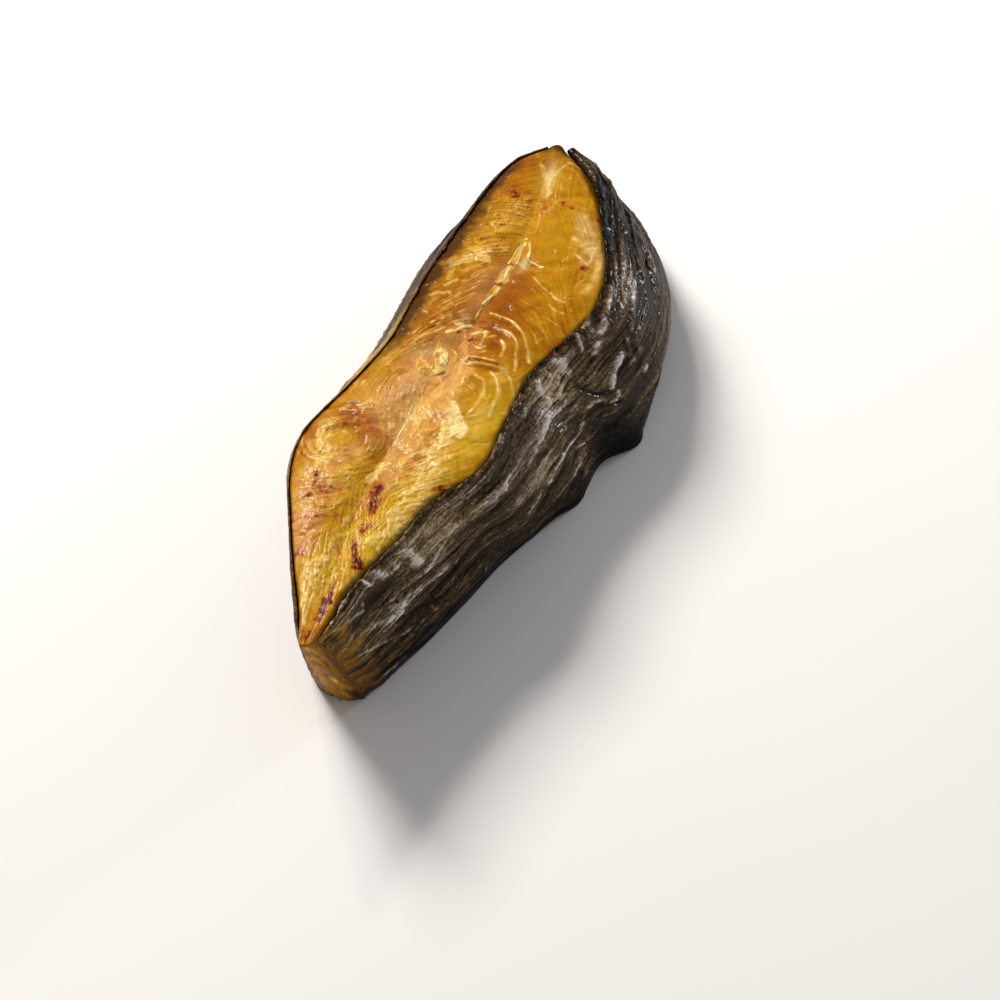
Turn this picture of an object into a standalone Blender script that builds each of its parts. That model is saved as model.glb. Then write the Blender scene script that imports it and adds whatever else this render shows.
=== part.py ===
"""A smoked halibut steak, standing on its lower cut face.

The steak is a slice through a whole flatfish, so its cut faces have the fish's lens outline, and the
knife went through at a slant, so the base lies further along +X than the cut face above it.
+X runs from the near fin edge to the far one, -Y is the side with the broad sheet of dark skin, and
+Z is up. The flesh is one body. A sheet of skin lies on each long wall, and the fin edges between
the two sheets are bare. The backbone runs down through the flesh, with two spines on the cut face.
"""

import math
from bisect import bisect_right

import bmesh
import bpy
from mathutils import Vector

MM = 0.001

# The steak's length and height. The base starts further along +X than the cut face does.
HEIGHT = 42.0 * MM
TOP_LENGTH = 205.0 * MM
BASE_LENGTH = 218.0 * MM
NEAR_UNDERCUT = 19.0 * MM

# The outline at stations along the steak, in millimetres from its axis. Each row holds the place
# along the length, the cut face's right and left edges, the base's right and left edges, and how
# far the right and left walls bulge between the two.
OUTLINE = (
    (0.00, 2.4, 1.6, 5.4, 7.4, 0.5, 0.8),
    (0.04, 3.0, 4.8, 8.0, 11.8, 1.0, 0.8),
    (0.10, 4.2, 11.0, 13.0, 17.0, 1.5, 0.5),
    (0.18, 8.8, 18.4, 18.6, 23.5, 2.5, 1.0),
    (0.25, 12.2, 24.2, 23.0, 28.5, 3.5, 1.5),
    (0.32, 20.0, 26.0, 29.4, 31.6, 3.5, 2.0),
    (0.40, 20.6, 22.1, 36.6, 32.6, 2.5, 2.3),
    (0.46, 20.8, 19.2, 38.4, 32.4, 2.5, 2.8),
    (0.52, 21.6, 17.1, 45.2, 31.6, 4.0, 3.4),
    (0.60, 27.0, 16.9, 45.2, 30.0, 6.5, 3.8),
    (0.67, 30.0, 16.7, 43.4, 28.4, 7.5, 4.3),
    (0.76, 27.6, 15.2, 40.0, 26.0, 8.0, 4.8),
    (0.84, 21.8, 13.9, 34.6, 21.4, 7.5, 2.8),
    (0.91, 16.0, 12.1, 27.0, 16.6, 5.0, 2.3),
    (0.96, 10.0, 9.2, 17.6, 11.6, 2.5, 1.5),
    (1.00, 2.6, 2.4, 5.6, 5.0, 0.5, 0.5),
)
RIGHT_TOP, LEFT_TOP, RIGHT_BASE, LEFT_BASE, RIGHT_BULGE, LEFT_BULGE = range(1, 7)

# The median line wanders from the axis, first to the left and then to the right.
MEDIAN_SWING = 4.2 * MM

# The two fin edges are rounded off by this much.
END_ROUND = 2.4 * MM
END_REACH = 0.035

# The flesh's faces along, across and up.
FLESH_FACES = (76, 22, 6)

# Relief on the cut face: a dome each side of the median groove, and an edge that rounds off.
DOME_RISE = 1.8 * MM
GROOVE_DEPTH = 1.3 * MM
GROOVE_WIDTH = 2.4 * MM
EDGE_DROP = 1.1 * MM

# Flakes lie in rings round four muscle centres: place along, place across, reach and ring pitch.
FLAKE_RINGS = (
    (0.44, -0.42, 27.0 * MM, 8.0 * MM),
    (0.55, -0.30, 30.0 * MM, 8.5 * MM),
    (0.73, -0.38, 32.0 * MM, 9.0 * MM),
    (0.30, 0.52, 34.0 * MM, 9.5 * MM),
)
FLAKE_RISE = 0.45 * MM

# Cracks between the muscle blocks run from the median line to a wall: place and place at the wall.
RIGHT_CRACKS = ((0.33, 0.27), (0.50, 0.49), (0.71, 0.75), (0.87, 0.90))
LEFT_CRACKS = ((0.20, 0.13), (0.37, 0.31), (0.58, 0.52), (0.78, 0.73))
CRACK_DEPTH = 0.9 * MM
CRACK_WIDTH = 1.7 * MM

# The near left quarter broke into crags.
CRAG_RISE = 0.7 * MM
CRAG_PITCH = 7.5 * MM
CRAG_END = 0.42

# The skin: a leathery sheet, a hair clear of the flesh and of the surface below.
SKIN_GAP = 0.4 * MM
SKIN_THICKNESS = 1.3 * MM
SKIN_CLEARANCE = 0.8 * MM
SKIN_START = 0.012
SKIN_END = 0.986
RIGHT_SKIN_FACES = (56, 1, 15)
LEFT_SKIN_FACES = (46, 1, 9)

# Wrinkles run the length of the skin.
WRINKLE_RISE = 0.55 * MM
RIGHT_WRINKLES = 6
LEFT_WRINKLES = 3.5
LATERAL_LINE = 0.46
LATERAL_FOLD_RISE = 1.1 * MM

# The backbone: an oval vertebra with a dished end, in a level seat that is wider than it is.
VERTEBRA_PLACE = 0.487
VERTEBRA_ACROSS = 0.15
VERTEBRA_RADIUS = 5.0 * MM
VERTEBRA_OVAL = 1.3
VERTEBRA_SIDES = 20
VERTEBRA_RIM = 0.45
VERTEBRA_DISH = 1.2 * MM
BONE_SEAT = 2.4
BONE_PROUD = 0.5 * MM
BONE_CLEARANCE = 0.8 * MM
BONE_GAP = 0.3 * MM

# Two flat spines run from the vertebra along the median groove. Each row holds the place of the
# tip, the half width, and how far left of the median line the spine lies at its root and its tip.
SPINES = (
    (0.80, 2.0 * MM, 3.2 * MM, -1.9 * MM),
    (0.28, 0.8 * MM, 1.8 * MM, -2.6 * MM),
)
SPINE_ROOT = 0.7
SPINE_DEPTH = 4.5 * MM
SPINE_TAPER = 0.4
SPINE_FACES = (22, 2, 1)
SPINE_JOINTS = 4
SPINE_WAIST = 0.3


def mix(a, b, share):
    """The value that lies this share of the way from a to b."""
    return a + (b - a) * share


def outline_at(column, s):
    """One column of the outline at place s, in metres, on a smooth curve through the stations."""
    places = [row[0] for row in OUTLINE]
    values = [row[column] * MM for row in OUTLINE]
    last = len(places) - 1
    start = min(max(bisect_right(places, s) - 1, 0), last - 1)
    span = places[start + 1] - places[start]

    def rise(k):
        before, after = max(k - 1, 0), min(k + 1, last)
        return (values[after] - values[before]) / (places[after] - places[before]) * span

    f = (s - places[start]) / span
    lift = 3 * f ** 2 - 2 * f ** 3
    return (
        mix(values[start], values[start + 1], lift)
        + rise(start) * f * (1 - f) ** 2
        - rise(start + 1) * f ** 2 * (1 - f)
    )


def median_at(s):
    """How far left of the axis the median line lies at place s."""
    return MEDIAN_SWING * math.sin(2 * math.pi * s) * math.sin(math.pi * s) ** 0.5


def steak_point(s, t, w):
    """A point of the steak.

    s runs from the near end (0) to the far end (1), t from the right wall (-1) over the median
    line (0) to the left wall (1), and w from the base (0) to the cut face (1).
    """
    side = -1 if t < 0 else 1
    top = outline_at(RIGHT_TOP if t < 0 else LEFT_TOP, s)
    base = outline_at(RIGHT_BASE if t < 0 else LEFT_BASE, s)
    bulge = outline_at(RIGHT_BULGE if t < 0 else LEFT_BULGE, s)
    wall = side * (mix(base, top, w) + bulge * 4 * w * (1 - w))
    y = mix(median_at(s), wall, abs(t))
    x = mix(NEAR_UNDERCUT + BASE_LENGTH * s, TOP_LENGTH * s, w)
    near_round = max(0, 1 - s / END_REACH) ** 2
    far_round = max(0, 1 - (1 - s) / END_REACH) ** 2
    x += END_ROUND * (1 - t ** 2) * (far_round - near_round)
    return Vector((x, y, w * HEIGHT))


def flake_relief(s, point):
    """The steps of the flakes, in rings round the muscle centres."""
    rise = 0
    for place, across, reach, pitch in FLAKE_RINGS:
        distance = (point - steak_point(place, across, 1)).length
        if distance < reach:
            fade = 1 - (distance / reach) ** 2
            rise += FLAKE_RISE * fade * math.cos(2 * math.pi * distance / pitch)
    return rise


def crack_relief(s, t):
    """The cracks between the muscle blocks on the side of the median line where t lies."""
    drop = 0
    for at_median, at_wall in (RIGHT_CRACKS if t < 0 else LEFT_CRACKS):
        distance = (s - mix(at_median, at_wall, abs(t))) * TOP_LENGTH
        drop += CRACK_DEPTH * math.exp(-(distance / CRACK_WIDTH) ** 2)
    return drop * min(1, 4 * abs(t)) * min(1, 4 * (1 - abs(t)))


def crag_relief(s, t, point):
    """The crags of the near left quarter."""
    if t < 0 or s > CRAG_END:
        return 0
    fade = math.sin(math.pi * s / CRAG_END) * math.sin(math.pi * t)
    waves = 2 * math.pi / CRAG_PITCH
    along = math.sin(waves * (point.x + 0.8 * point.y))
    across = math.sin(waves * (1.3 * point.y - 0.4 * point.x) + 1.1)
    return CRAG_RISE * fade * (along + across)


def cut_relief(s, t):
    """The height of the cut face over its plane. It lies level round the vertebra."""
    point = steak_point(s, t, 1)
    from_median = abs(point.y - median_at(s))
    from_bone = (point - steak_point(VERTEBRA_PLACE, VERTEBRA_ACROSS, 1)).length / VERTEBRA_RADIUS
    level = min(1, 12 * s, 12 * (1 - s), max(0, from_bone - 1) / (BONE_SEAT - 1))
    dome = DOME_RISE * (1 - (2 * abs(t) - 1) ** 2)
    groove = GROOVE_DEPTH * math.exp(-(from_median / GROOVE_WIDTH) ** 2)
    flakes = flake_relief(s, point) * min(1, from_median / (2 * GROOVE_WIDTH))
    relief = dome - groove + flakes - crack_relief(s, t) + crag_relief(s, t, point)
    return relief * level - EDGE_DROP * abs(t) ** 10


def cut_face_point(s, t, lift):
    """A point this far over the relief of the cut face, on the slant of the steak."""
    return steak_point(s, t, 1 + (cut_relief(s, t) + lift) / HEIGHT)


def wall_point(s, side, w, out):
    """A point this far out from the right (-1) or left (1) wall, square to the wall."""
    step = 0.004
    along = steak_point(s + step, side, w) - steak_point(s - step, side, w)
    up = steak_point(s, side, w + step) - steak_point(s, side, w - step)
    outward = along.cross(up).normalized() * -side
    point = steak_point(s, side, w) + outward * out
    point.z = max(point.z, SKIN_CLEARANCE)
    return point


def block(counts):
    """A unit box whose faces are cut into this many quads along X, Y and Z."""
    bm = bmesh.new()
    bmesh.ops.create_cube(bm, size=1)
    for axis, count in enumerate(counts):
        direction = Vector([float(k == axis) for k in range(3)])
        edges = []
        for edge in bm.edges:
            run = (edge.verts[1].co - edge.verts[0].co).normalized()
            if abs(run.dot(direction)) > 0.99:
                edges.append(edge)
        if count > 1:
            bmesh.ops.subdivide_edges(bm, edges=edges, cuts=count - 1, use_grid_fill=True)
    bmesh.ops.translate(bm, vec=(0.5, 0.5, 0.5), verts=bm.verts)
    return bm


def finish_mesh(bm, name, collection):
    """Turns the mesh's faces outward and makes a smooth shaded object of it."""
    bmesh.ops.recalc_face_normals(bm, faces=bm.faces)
    mesh = bpy.data.meshes.new(name)
    bm.to_mesh(mesh)
    bm.free()
    mesh.shade_smooth()
    mesh.set_sharp_from_angle(angle=math.radians(50))
    thing = bpy.data.objects.new(name, mesh)
    collection.objects.link(thing)
    return thing


def make_flesh(collection):
    """The flesh: a box bent to the steak's form, with the relief of the cut face on its top."""
    bm = block(FLESH_FACES)
    for vert in bm.verts:
        s, across, w = vert.co
        t = 2 * across - 1
        top_share = max(0, 1 - (1 - w) * FLESH_FACES[2])
        vert.co = steak_point(s, t, w + top_share * cut_relief(s, t) / HEIGHT)
    base = [face for face in bm.faces if max(abs(v.co.z) for v in face.verts) < 0.01 * MM]
    bmesh.ops.dissolve_faces(bm, faces=base)
    return finish_mesh(bm, "flesh", collection)


def skin_relief(s, w, wrinkles):
    """How far the wrinkles of the skin stand out, with the folds beside the lateral line."""
    wander = 0.5 * math.sin(7 * s + 1) + 0.25 * math.sin(17 * s)
    wrinkle = WRINKLE_RISE * math.sin(2 * math.pi * (wrinkles * w + wander))
    from_line = (s - LATERAL_LINE - 0.03 * math.sin(2 * math.pi * w)) / 0.03
    fold = LATERAL_FOLD_RISE * math.exp(-from_line ** 2) * math.sin(math.pi * w)
    return wrinkle + fold


def make_skin(name, side, counts, wrinkles, collection):
    """A sheet of skin on one wall: smooth inside, and wrinkled along its length outside."""
    bm = block(counts)
    foot = SKIN_CLEARANCE / HEIGHT
    for vert in bm.verts:
        along, depth, up = vert.co
        s = mix(SKIN_START, SKIN_END, along)
        w = mix(foot, 1 - EDGE_DROP / HEIGHT, up)
        edges = min(1, 8 * along, 8 * (1 - along), 5 * up, 5 * (1 - up))
        thickness = SKIN_THICKNESS + edges * skin_relief(s, w, wrinkles)
        vert.co = wall_point(s, side, w, SKIN_GAP + depth * thickness)
    return finish_mesh(bm, name, collection)


def make_vertebra(name, grow, collection):
    """One vertebra, dished on top, that runs down through the steak on its slant."""
    bm = bmesh.new()
    bmesh.ops.create_circle(bm, cap_ends=True, segments=VERTEBRA_SIDES, radius=1)
    bmesh.ops.inset_region(bm, faces=bm.faces[:], thickness=VERTEBRA_RIM)
    walls = bmesh.ops.extrude_face_region(bm, geom=bm.faces[:])
    lifted = [part for part in walls["geom"] if isinstance(part, bmesh.types.BMVert)]
    bmesh.ops.translate(bm, vec=(0, 0, 1), verts=lifted)
    radius = VERTEBRA_RADIUS + grow
    foot = BONE_CLEARANCE - 4 * grow
    for vert in bm.verts:
        in_dish = vert.co.xy.length < 1 - VERTEBRA_RIM / 2
        head = HEIGHT + BONE_PROUD + grow - (VERTEBRA_DISH if in_dish else 0)
        level = head if vert.co.z > 0.5 else foot
        centre = steak_point(VERTEBRA_PLACE, VERTEBRA_ACROSS, level / HEIGHT)
        vert.co = centre + Vector((vert.co.x * radius * VERTEBRA_OVAL, vert.co.y * radius, 0))
    return finish_mesh(bm, name, collection)


def make_spine(name, spine, grow, collection):
    """A flat spine in the median groove, jointed like a reed and thinner towards its tip."""
    tip, half_width, root_stray, tip_stray = spine
    heading = math.copysign(1 / TOP_LENGTH, tip - VERTEBRA_PLACE)
    root = VERTEBRA_PLACE + heading * VERTEBRA_RADIUS * VERTEBRA_OVAL * SPINE_ROOT
    bm = block(SPINE_FACES)
    for vert in bm.verts:
        along, across, up = vert.co
        s = mix(root, tip + heading * grow, along)
        joint = 1 - SPINE_WAIST * math.cos(math.pi * SPINE_JOINTS * along) ** 12
        width = half_width * (1 - SPINE_TAPER * along) * joint + grow
        crown = GROOVE_DEPTH / 2 + BONE_PROUD * math.sin(math.pi * across)
        crown = mix(-BONE_PROUD / 3, crown, min(1, 6 * along))
        point = cut_face_point(s, 0, mix(-SPINE_DEPTH - grow, crown + grow, up))
        point.y += mix(root_stray, tip_stray, along) + (2 * across - 1) * width
        vert.co = point
    return finish_mesh(bm, name, collection)


def make_backbone(name, grow, parts, cutters):
    """The vertebra with its two spines fused on, grown all round by this much."""
    backbone = make_vertebra(name, grow, parts)
    spines = [make_spine(name + "_spine", spine, grow, cutters) for spine in SPINES]
    for spine in spines:
        union = backbone.modifiers.new("join_spine", "BOOLEAN")
        union.operation = "UNION"
        union.solver = "EXACT"
        union.object = spine
    evaluated = backbone.evaluated_get(bpy.context.evaluated_depsgraph_get())
    fused = bpy.data.meshes.new_from_object(evaluated)
    backbone.modifiers.clear()
    backbone.data = fused
    for spine in spines:
        bpy.data.objects.remove(spine)
    return backbone


def cut_with(thing, cutter):
    """Cuts the cutter's shape out of the thing, and hides the cutter."""
    cut = thing.modifiers.new("bone_channel", "BOOLEAN")
    cut.operation = "DIFFERENCE"
    cut.solver = "EXACT"
    cut.object = cutter
    cutter.hide_render = True
    cutter.display_type = "WIRE"


def give_material(thing, name, colour, roughness):
    """Gives the thing a Principled material of its own."""
    material = bpy.data.materials.new(name)
    material.use_nodes = True
    shader = material.node_tree.nodes["Principled BSDF"]
    shader.inputs["Base Color"].default_value = (*colour, 1)
    shader.inputs["Roughness"].default_value = roughness
    thing.data.materials.clear()
    thing.data.materials.append(material)


def new_collection(name):
    """A collection in the scene."""
    collection = bpy.data.collections.new(name)
    bpy.context.scene.collection.children.link(collection)
    return collection


def move_to_origin(things, cutter):
    """Moves the meshes so that the middle of the steak's lowest level is the origin."""
    bpy.context.view_layer.update()
    corners = [Vector(corner) for thing in things for corner in thing.bound_box]
    low = Vector([min(corner[axis] for corner in corners) for axis in range(3)])
    high = Vector([max(corner[axis] for corner in corners) for axis in range(3)])
    middle = (low + high) / 2
    middle.z = low.z
    for thing in (*things, cutter):
        for vert in thing.data.vertices:
            vert.co -= middle


def main():
    for old in list(bpy.data.objects):
        bpy.data.objects.remove(old)
    parts = new_collection("smoked_halibut")
    cutters = new_collection("cutters")

    flesh = make_flesh(parts)
    right = make_skin("skin_right", -1, RIGHT_SKIN_FACES, RIGHT_WRINKLES, parts)
    left = make_skin("skin_left", 1, LEFT_SKIN_FACES, LEFT_WRINKLES, parts)
    backbone = make_backbone("backbone", 0, parts, cutters)
    channel = make_backbone("bone_channel", BONE_GAP, cutters, cutters)
    cut_with(flesh, channel)

    move_to_origin((flesh, right, left, backbone), channel)

    give_material(flesh, "flesh", (0.62, 0.26, 0.03), 0.35)
    give_material(right, "skin_right", (0.06, 0.05, 0.04), 0.40)
    give_material(left, "skin_left", (0.08, 0.06, 0.045), 0.45)
    give_material(backbone, "backbone", (0.75, 0.58, 0.30), 0.50)


main()
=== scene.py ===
# %% [markdown]
# A thick slice of hot smoked halibut stands on its lower cut face. The upper cut face shows amber
# flesh in flakes round the backbone, and dark, wet, wrinkled skin covers the two long walls. Its
# solids are fixed, so this lesson bends fine grids to the same outline and adds what a solid can't
# carry: fibres, fat lines, crags, wrinkles and the finishes.

# %% Load the frame
import math
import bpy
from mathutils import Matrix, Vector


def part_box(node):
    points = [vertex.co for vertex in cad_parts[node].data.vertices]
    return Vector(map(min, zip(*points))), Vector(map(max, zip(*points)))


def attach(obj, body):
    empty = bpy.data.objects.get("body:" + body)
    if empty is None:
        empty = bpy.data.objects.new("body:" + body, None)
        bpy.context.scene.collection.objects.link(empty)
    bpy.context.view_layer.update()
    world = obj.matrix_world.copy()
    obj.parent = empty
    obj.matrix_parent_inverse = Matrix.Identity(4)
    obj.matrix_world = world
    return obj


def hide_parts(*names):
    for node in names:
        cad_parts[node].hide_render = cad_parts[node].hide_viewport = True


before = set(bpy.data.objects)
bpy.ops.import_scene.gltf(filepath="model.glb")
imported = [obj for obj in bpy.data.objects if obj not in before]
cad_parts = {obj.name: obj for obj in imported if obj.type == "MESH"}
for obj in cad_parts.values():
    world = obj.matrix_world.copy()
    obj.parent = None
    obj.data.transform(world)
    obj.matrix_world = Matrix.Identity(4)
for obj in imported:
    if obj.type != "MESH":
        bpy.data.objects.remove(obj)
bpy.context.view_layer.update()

from types import SimpleNamespace

import bmesh
import bpy
import numpy as np
from mathutils import Vector

MM = 0.001
print("nodes:", sorted(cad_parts))

# %% [markdown]
# The outline of the real slice is the lens of a flatfish, fuller on one side. It could be drawn as
# a curve and lofted, but every piece has to lie on it, so it is a mapping instead: a place along
# the steak, across it and up it gives a point. The numbers are the solid's own.

# %% The outline at stations along the steak
HEIGHT = 42.0 * MM
TOP_LENGTH = 205.0 * MM
BASE_LENGTH = 218.0 * MM
NEAR_UNDERCUT = 19.0 * MM
MEDIAN_SWING = 4.2 * MM
END_ROUND = 2.4 * MM
END_REACH = 0.035

# Place along the length, then the cut face's right and left edges, the base's right and left
# edges, and the bulge of the right and left walls, in millimetres.
OUTLINE = np.array((
    (0.00, 2.4, 1.6, 5.4, 7.4, 0.5, 0.8),
    (0.04, 3.0, 4.8, 8.0, 11.8, 1.0, 0.8),
    (0.10, 4.2, 11.0, 13.0, 17.0, 1.5, 0.5),
    (0.18, 8.8, 18.4, 18.6, 23.5, 2.5, 1.0),
    (0.25, 12.2, 24.2, 23.0, 28.5, 3.5, 1.5),
    (0.32, 20.0, 26.0, 29.4, 31.6, 3.5, 2.0),
    (0.40, 20.6, 22.1, 36.6, 32.6, 2.5, 2.3),
    (0.46, 20.8, 19.2, 38.4, 32.4, 2.5, 2.8),
    (0.52, 21.6, 17.1, 45.2, 31.6, 4.0, 3.4),
    (0.60, 27.0, 16.9, 45.2, 30.0, 6.5, 3.8),
    (0.67, 30.0, 16.7, 43.4, 28.4, 7.5, 4.3),
    (0.76, 27.6, 15.2, 40.0, 26.0, 8.0, 4.8),
    (0.84, 21.8, 13.9, 34.6, 21.4, 7.5, 2.8),
    (0.91, 16.0, 12.1, 27.0, 16.6, 5.0, 2.3),
    (0.96, 10.0, 9.2, 17.6, 11.6, 2.5, 1.5),
    (1.00, 2.6, 2.4, 5.6, 5.0, 0.5, 0.5),
))
PLACES = OUTLINE[:, 0]
TOP_EDGES, BASE_EDGES, BULGES = (1, 2), (3, 4), (5, 6)


def mix(a, b, share):
    """The value that lies this share of the way from a to b."""
    return a + (b - a) * share


def outline_at(column, s):
    """One column of the outline at places s, in metres, on a smooth curve."""
    values = OUTLINE[:, column] * MM
    last = len(PLACES) - 1
    start = np.clip(np.searchsorted(PLACES, s, side="right") - 1, 0, last - 1)
    before = np.maximum(np.arange(last + 1) - 1, 0)
    after = np.minimum(np.arange(last + 1) + 1, last)
    slope = (values[after] - values[before]) / (PLACES[after] - PLACES[before])
    span = PLACES[start + 1] - PLACES[start]
    f = (s - PLACES[start]) / span
    return (
        mix(values[start], values[start + 1], 3 * f ** 2 - 2 * f ** 3)
        + slope[start] * span * f * (1 - f) ** 2
        - slope[start + 1] * span * f ** 2 * (1 - f)
    )


def by_side(t, columns, s):
    """The outline's value for the wall that t leans to: the right one below 0, else the left."""
    return np.where(t < 0, outline_at(columns[0], s), outline_at(columns[1], s))


def median_at(s):
    """How far left of the axis the median line lies."""
    return MEDIAN_SWING * np.sin(2 * np.pi * s) * np.sin(np.pi * np.clip(s, 0, 1)) ** 0.5


def steak_points(s, t, w):
    """Points at places along (s), across (t, -1 to 1) and up (w) the steak, before the shift."""
    wall = mix(by_side(t, BASE_EDGES, s), by_side(t, TOP_EDGES, s), w)
    wall = np.where(t < 0, -1, 1) * (wall + by_side(t, BULGES, s) * 4 * w * (1 - w))
    y = mix(median_at(s), wall, np.abs(t))
    x = mix(NEAR_UNDERCUT + BASE_LENGTH * s, TOP_LENGTH * s, w)
    near_round = np.maximum(0, 1 - s / END_REACH) ** 2
    far_round = np.maximum(0, 1 - (1 - s) / END_REACH) ** 2
    x = x + END_ROUND * (1 - t ** 2) * (far_round - near_round)
    return np.stack([x, y, w * HEIGHT + 0 * s], axis=-1)


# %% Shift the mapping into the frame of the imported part
flesh_low, flesh_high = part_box("flesh")
wall_s, wall_w = np.meshgrid(np.linspace(0, 1, 77), np.linspace(0, 1, 7))
right_wall = steak_points(wall_s, -1 + 0 * wall_s, wall_w)
far_foot = steak_points(np.array(1.0), np.array(0.0), np.array(0.0))
SHIFT = np.array([flesh_high.x - far_foot[0], flesh_low.y - right_wall[..., 1].min(), 0])
print("shift in mm:", (SHIFT / MM).round(2))

# %% [markdown]
# Broken flesh and dried skin are uneven at every size. Blender's own noise could be used in a
# displace modifier, but the relief and the colours have to agree, so one noise is worked out here
# for the points of each mesh. It is gradient noise: each cell of a grid has a slope of its own,
# and the slopes blend.

# %% Noise
random = np.random.default_rng(11)
SHUFFLE = random.permutation(256)
TURNS = random.uniform(0, 2 * np.pi, 256)
# Gradient noise is weak, so it is raised by this much.
NOISE_GAIN = 1.6


def noise(x, y, seed=0):
    """Smooth noise between about -1 and 1, with one lump to each unit of x and y."""
    cell_x, cell_y = np.floor(x).astype(int), np.floor(y).astype(int)
    fx, fy = x - cell_x, y - cell_y

    def corner(i, j):
        """How high the slope of one corner of the cell lies here."""
        pick = SHUFFLE[(SHUFFLE[(cell_x + i + 17 * seed) & 255] + cell_y + j + seed) & 255]
        return np.cos(TURNS[pick]) * (fx - i) + np.sin(TURNS[pick]) * (fy - j)

    ease_x, ease_y = fx ** 2 * (3 - 2 * fx), fy ** 2 * (3 - 2 * fy)
    near = mix(corner(0, 0), corner(1, 0), ease_x)
    far = mix(corner(0, 1), corner(1, 1), ease_x)
    return NOISE_GAIN * mix(near, far, ease_y)


def rough_noise(x, y, seed=0, layers=3):
    """Noise with finer layers on it, each half as high as the one before."""
    total = 0
    for k in range(layers):
        total = total + noise(x * 2 ** k, y * 2 ** k, seed + k) / 2 ** k
    return total


def smooth_step(low, high, value):
    """0 below low, 1 above high, and an even curve between."""
    f = np.clip((value - low) / (high - low), 0, 1)
    return f ** 2 * (3 - 2 * f)


def blob(x, y, place, reach, turn=0):
    """A soft patch, 1 at its middle: its reach along and across, turned by this many degrees."""
    c, s = math.cos(math.radians(turn)), math.sin(math.radians(turn))
    dx, dy = x - place[0], y - place[1]
    along, across = (c * dx + s * dy) / reach[0], (c * dy - s * dx) / reach[1]
    return np.exp(-(along ** 2 + across ** 2))


def smooth_path(points, pieces=6):
    """A Catmull-Rom curve through the points, as short straight pieces."""
    p = np.array([points[0], *points, points[-1]], float)
    f = np.linspace(0, 1, pieces, endpoint=False)[:, None]
    runs = []
    for a, b, c, d in zip(p, p[1:], p[2:], p[3:]):
        bend = (2 * a - 5 * b + 4 * c - d) * f ** 2 + (3 * b - 3 * c + d - a) * f ** 3
        runs.append(b + 0.5 * ((c - a) * f + bend))
    return np.vstack([*runs, p[-1:]])


def from_path(x, y, points, reach):
    """The distance to a smooth path, for the places within reach of its box, and inf elsewhere."""
    path = smooth_path(points)
    low, high = path.min(0) - reach, path.max(0) + reach
    close = (x > low[0]) & (x < high[0]) & (y > low[1]) & (y < high[1])
    distance = np.full(x.shape, np.inf)
    spots = np.stack([x[close], y[close]], -1)
    best = np.full(len(spots), np.inf)
    for a, b in zip(path, path[1:]):
        run = b - a
        share = np.clip((spots - a) @ run / (run @ run), 0, 1)
        best = np.minimum(best, np.linalg.norm(spots - a - share[:, None] * run, axis=1))
    distance[close] = best
    return distance


# %% [markdown]
# The cut face is the real steak's main sight. Its broad forms are the solid's: a dome each side of
# the median groove, muscle blocks with cracks between them, and rings of flakes. They are repeated
# here from the same values, so the fine mesh lies on the solid.

# %% Broad relief of the cut face, as in the solid
DOME_RISE = 1.8 * MM
# Where a half is narrower than this, its dome is lower, down to a least share of the rise.
DOME_WIDTH = 20 * MM
LOWEST_DOME = 0.2
# The right half's dome is lower than the left one's.
RIGHT_DOME = 0.65
GROOVE_DEPTH = 1.3 * MM
GROOVE_WIDTH = 2.4 * MM
# Broken tissue fills the groove here and there: the share left open, how much that varies, and
# over what length.
GROOVE_OPEN = 0.25
GROOVE_VARIES = 0.30
GROOVE_FILL_PITCH = 14 * MM
# The solid's flakes and cracks are coarse. The fine ones drawn below take over half of them.
SOFTER = 0.45
# The face drops at the skin, by this much and this sharply.
EDGE_DROP = 1.1 * MM
EDGE_SHARPNESS = 10
# Rings of flakes: their centre along and across the steak, reach and pitch.
FLAKE_RINGS = (
    (0.44, -0.42, 27.0 * MM, 8.0 * MM),
    (0.55, -0.30, 30.0 * MM, 8.5 * MM),
    (0.73, -0.38, 32.0 * MM, 9.0 * MM),
    (0.30, 0.52, 34.0 * MM, 9.5 * MM),
)
FLAKE_RISE = 0.45 * MM
# Cracks: their place along the steak at the median line and at the wall.
RIGHT_CRACKS = ((0.33, 0.27), (0.50, 0.49), (0.71, 0.75), (0.87, 0.90))
LEFT_CRACKS = ((0.20, 0.13), (0.37, 0.31), (0.58, 0.52), (0.78, 0.73))
CRACK_DEPTH = 0.9 * MM
CRACK_WIDTH = 1.7 * MM
# How steeply a crack fades towards its two ends.
CRACK_FADE = 4
VERTEBRA_PLACE = 0.487
VERTEBRA_ACROSS = 0.15
VERTEBRA_RADIUS = 5.0 * MM
# Relief starts at the vertebra's rim and is full this many radii from its middle.
BONE_SEAT = 2.4
# How steeply relief fades towards the fin edges.
FIN_FADE = 12


def crack_relief(s, t):
    """The cracks between the muscle blocks."""
    drop = 0 * s
    for side, cracks in ((-1, RIGHT_CRACKS), (1, LEFT_CRACKS)):
        for at_median, at_wall in cracks:
            distance = (s - mix(at_median, at_wall, np.abs(t))) * TOP_LENGTH
            drop += CRACK_DEPTH * np.exp(-(distance / CRACK_WIDTH) ** 2) * (side * t > 0)
    ends = np.clip(CRACK_FADE * np.abs(t), 0, 1) * np.clip(CRACK_FADE * (1 - np.abs(t)), 0, 1)
    return drop * ends


def flake_relief(point):
    """The steps of the flakes, in rings round the muscle centres."""
    rise = 0 * point[:, 0]
    for place, across, reach, pitch in FLAKE_RINGS:
        centre = steak_points(np.array(place), np.array(across), np.array(1.0))
        distance = np.linalg.norm(point - centre, axis=1)
        fade = np.clip(1 - (distance / reach) ** 2, 0, 1)
        rise += FLAKE_RISE * fade * np.cos(2 * np.pi * distance / pitch)
    return rise


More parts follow.
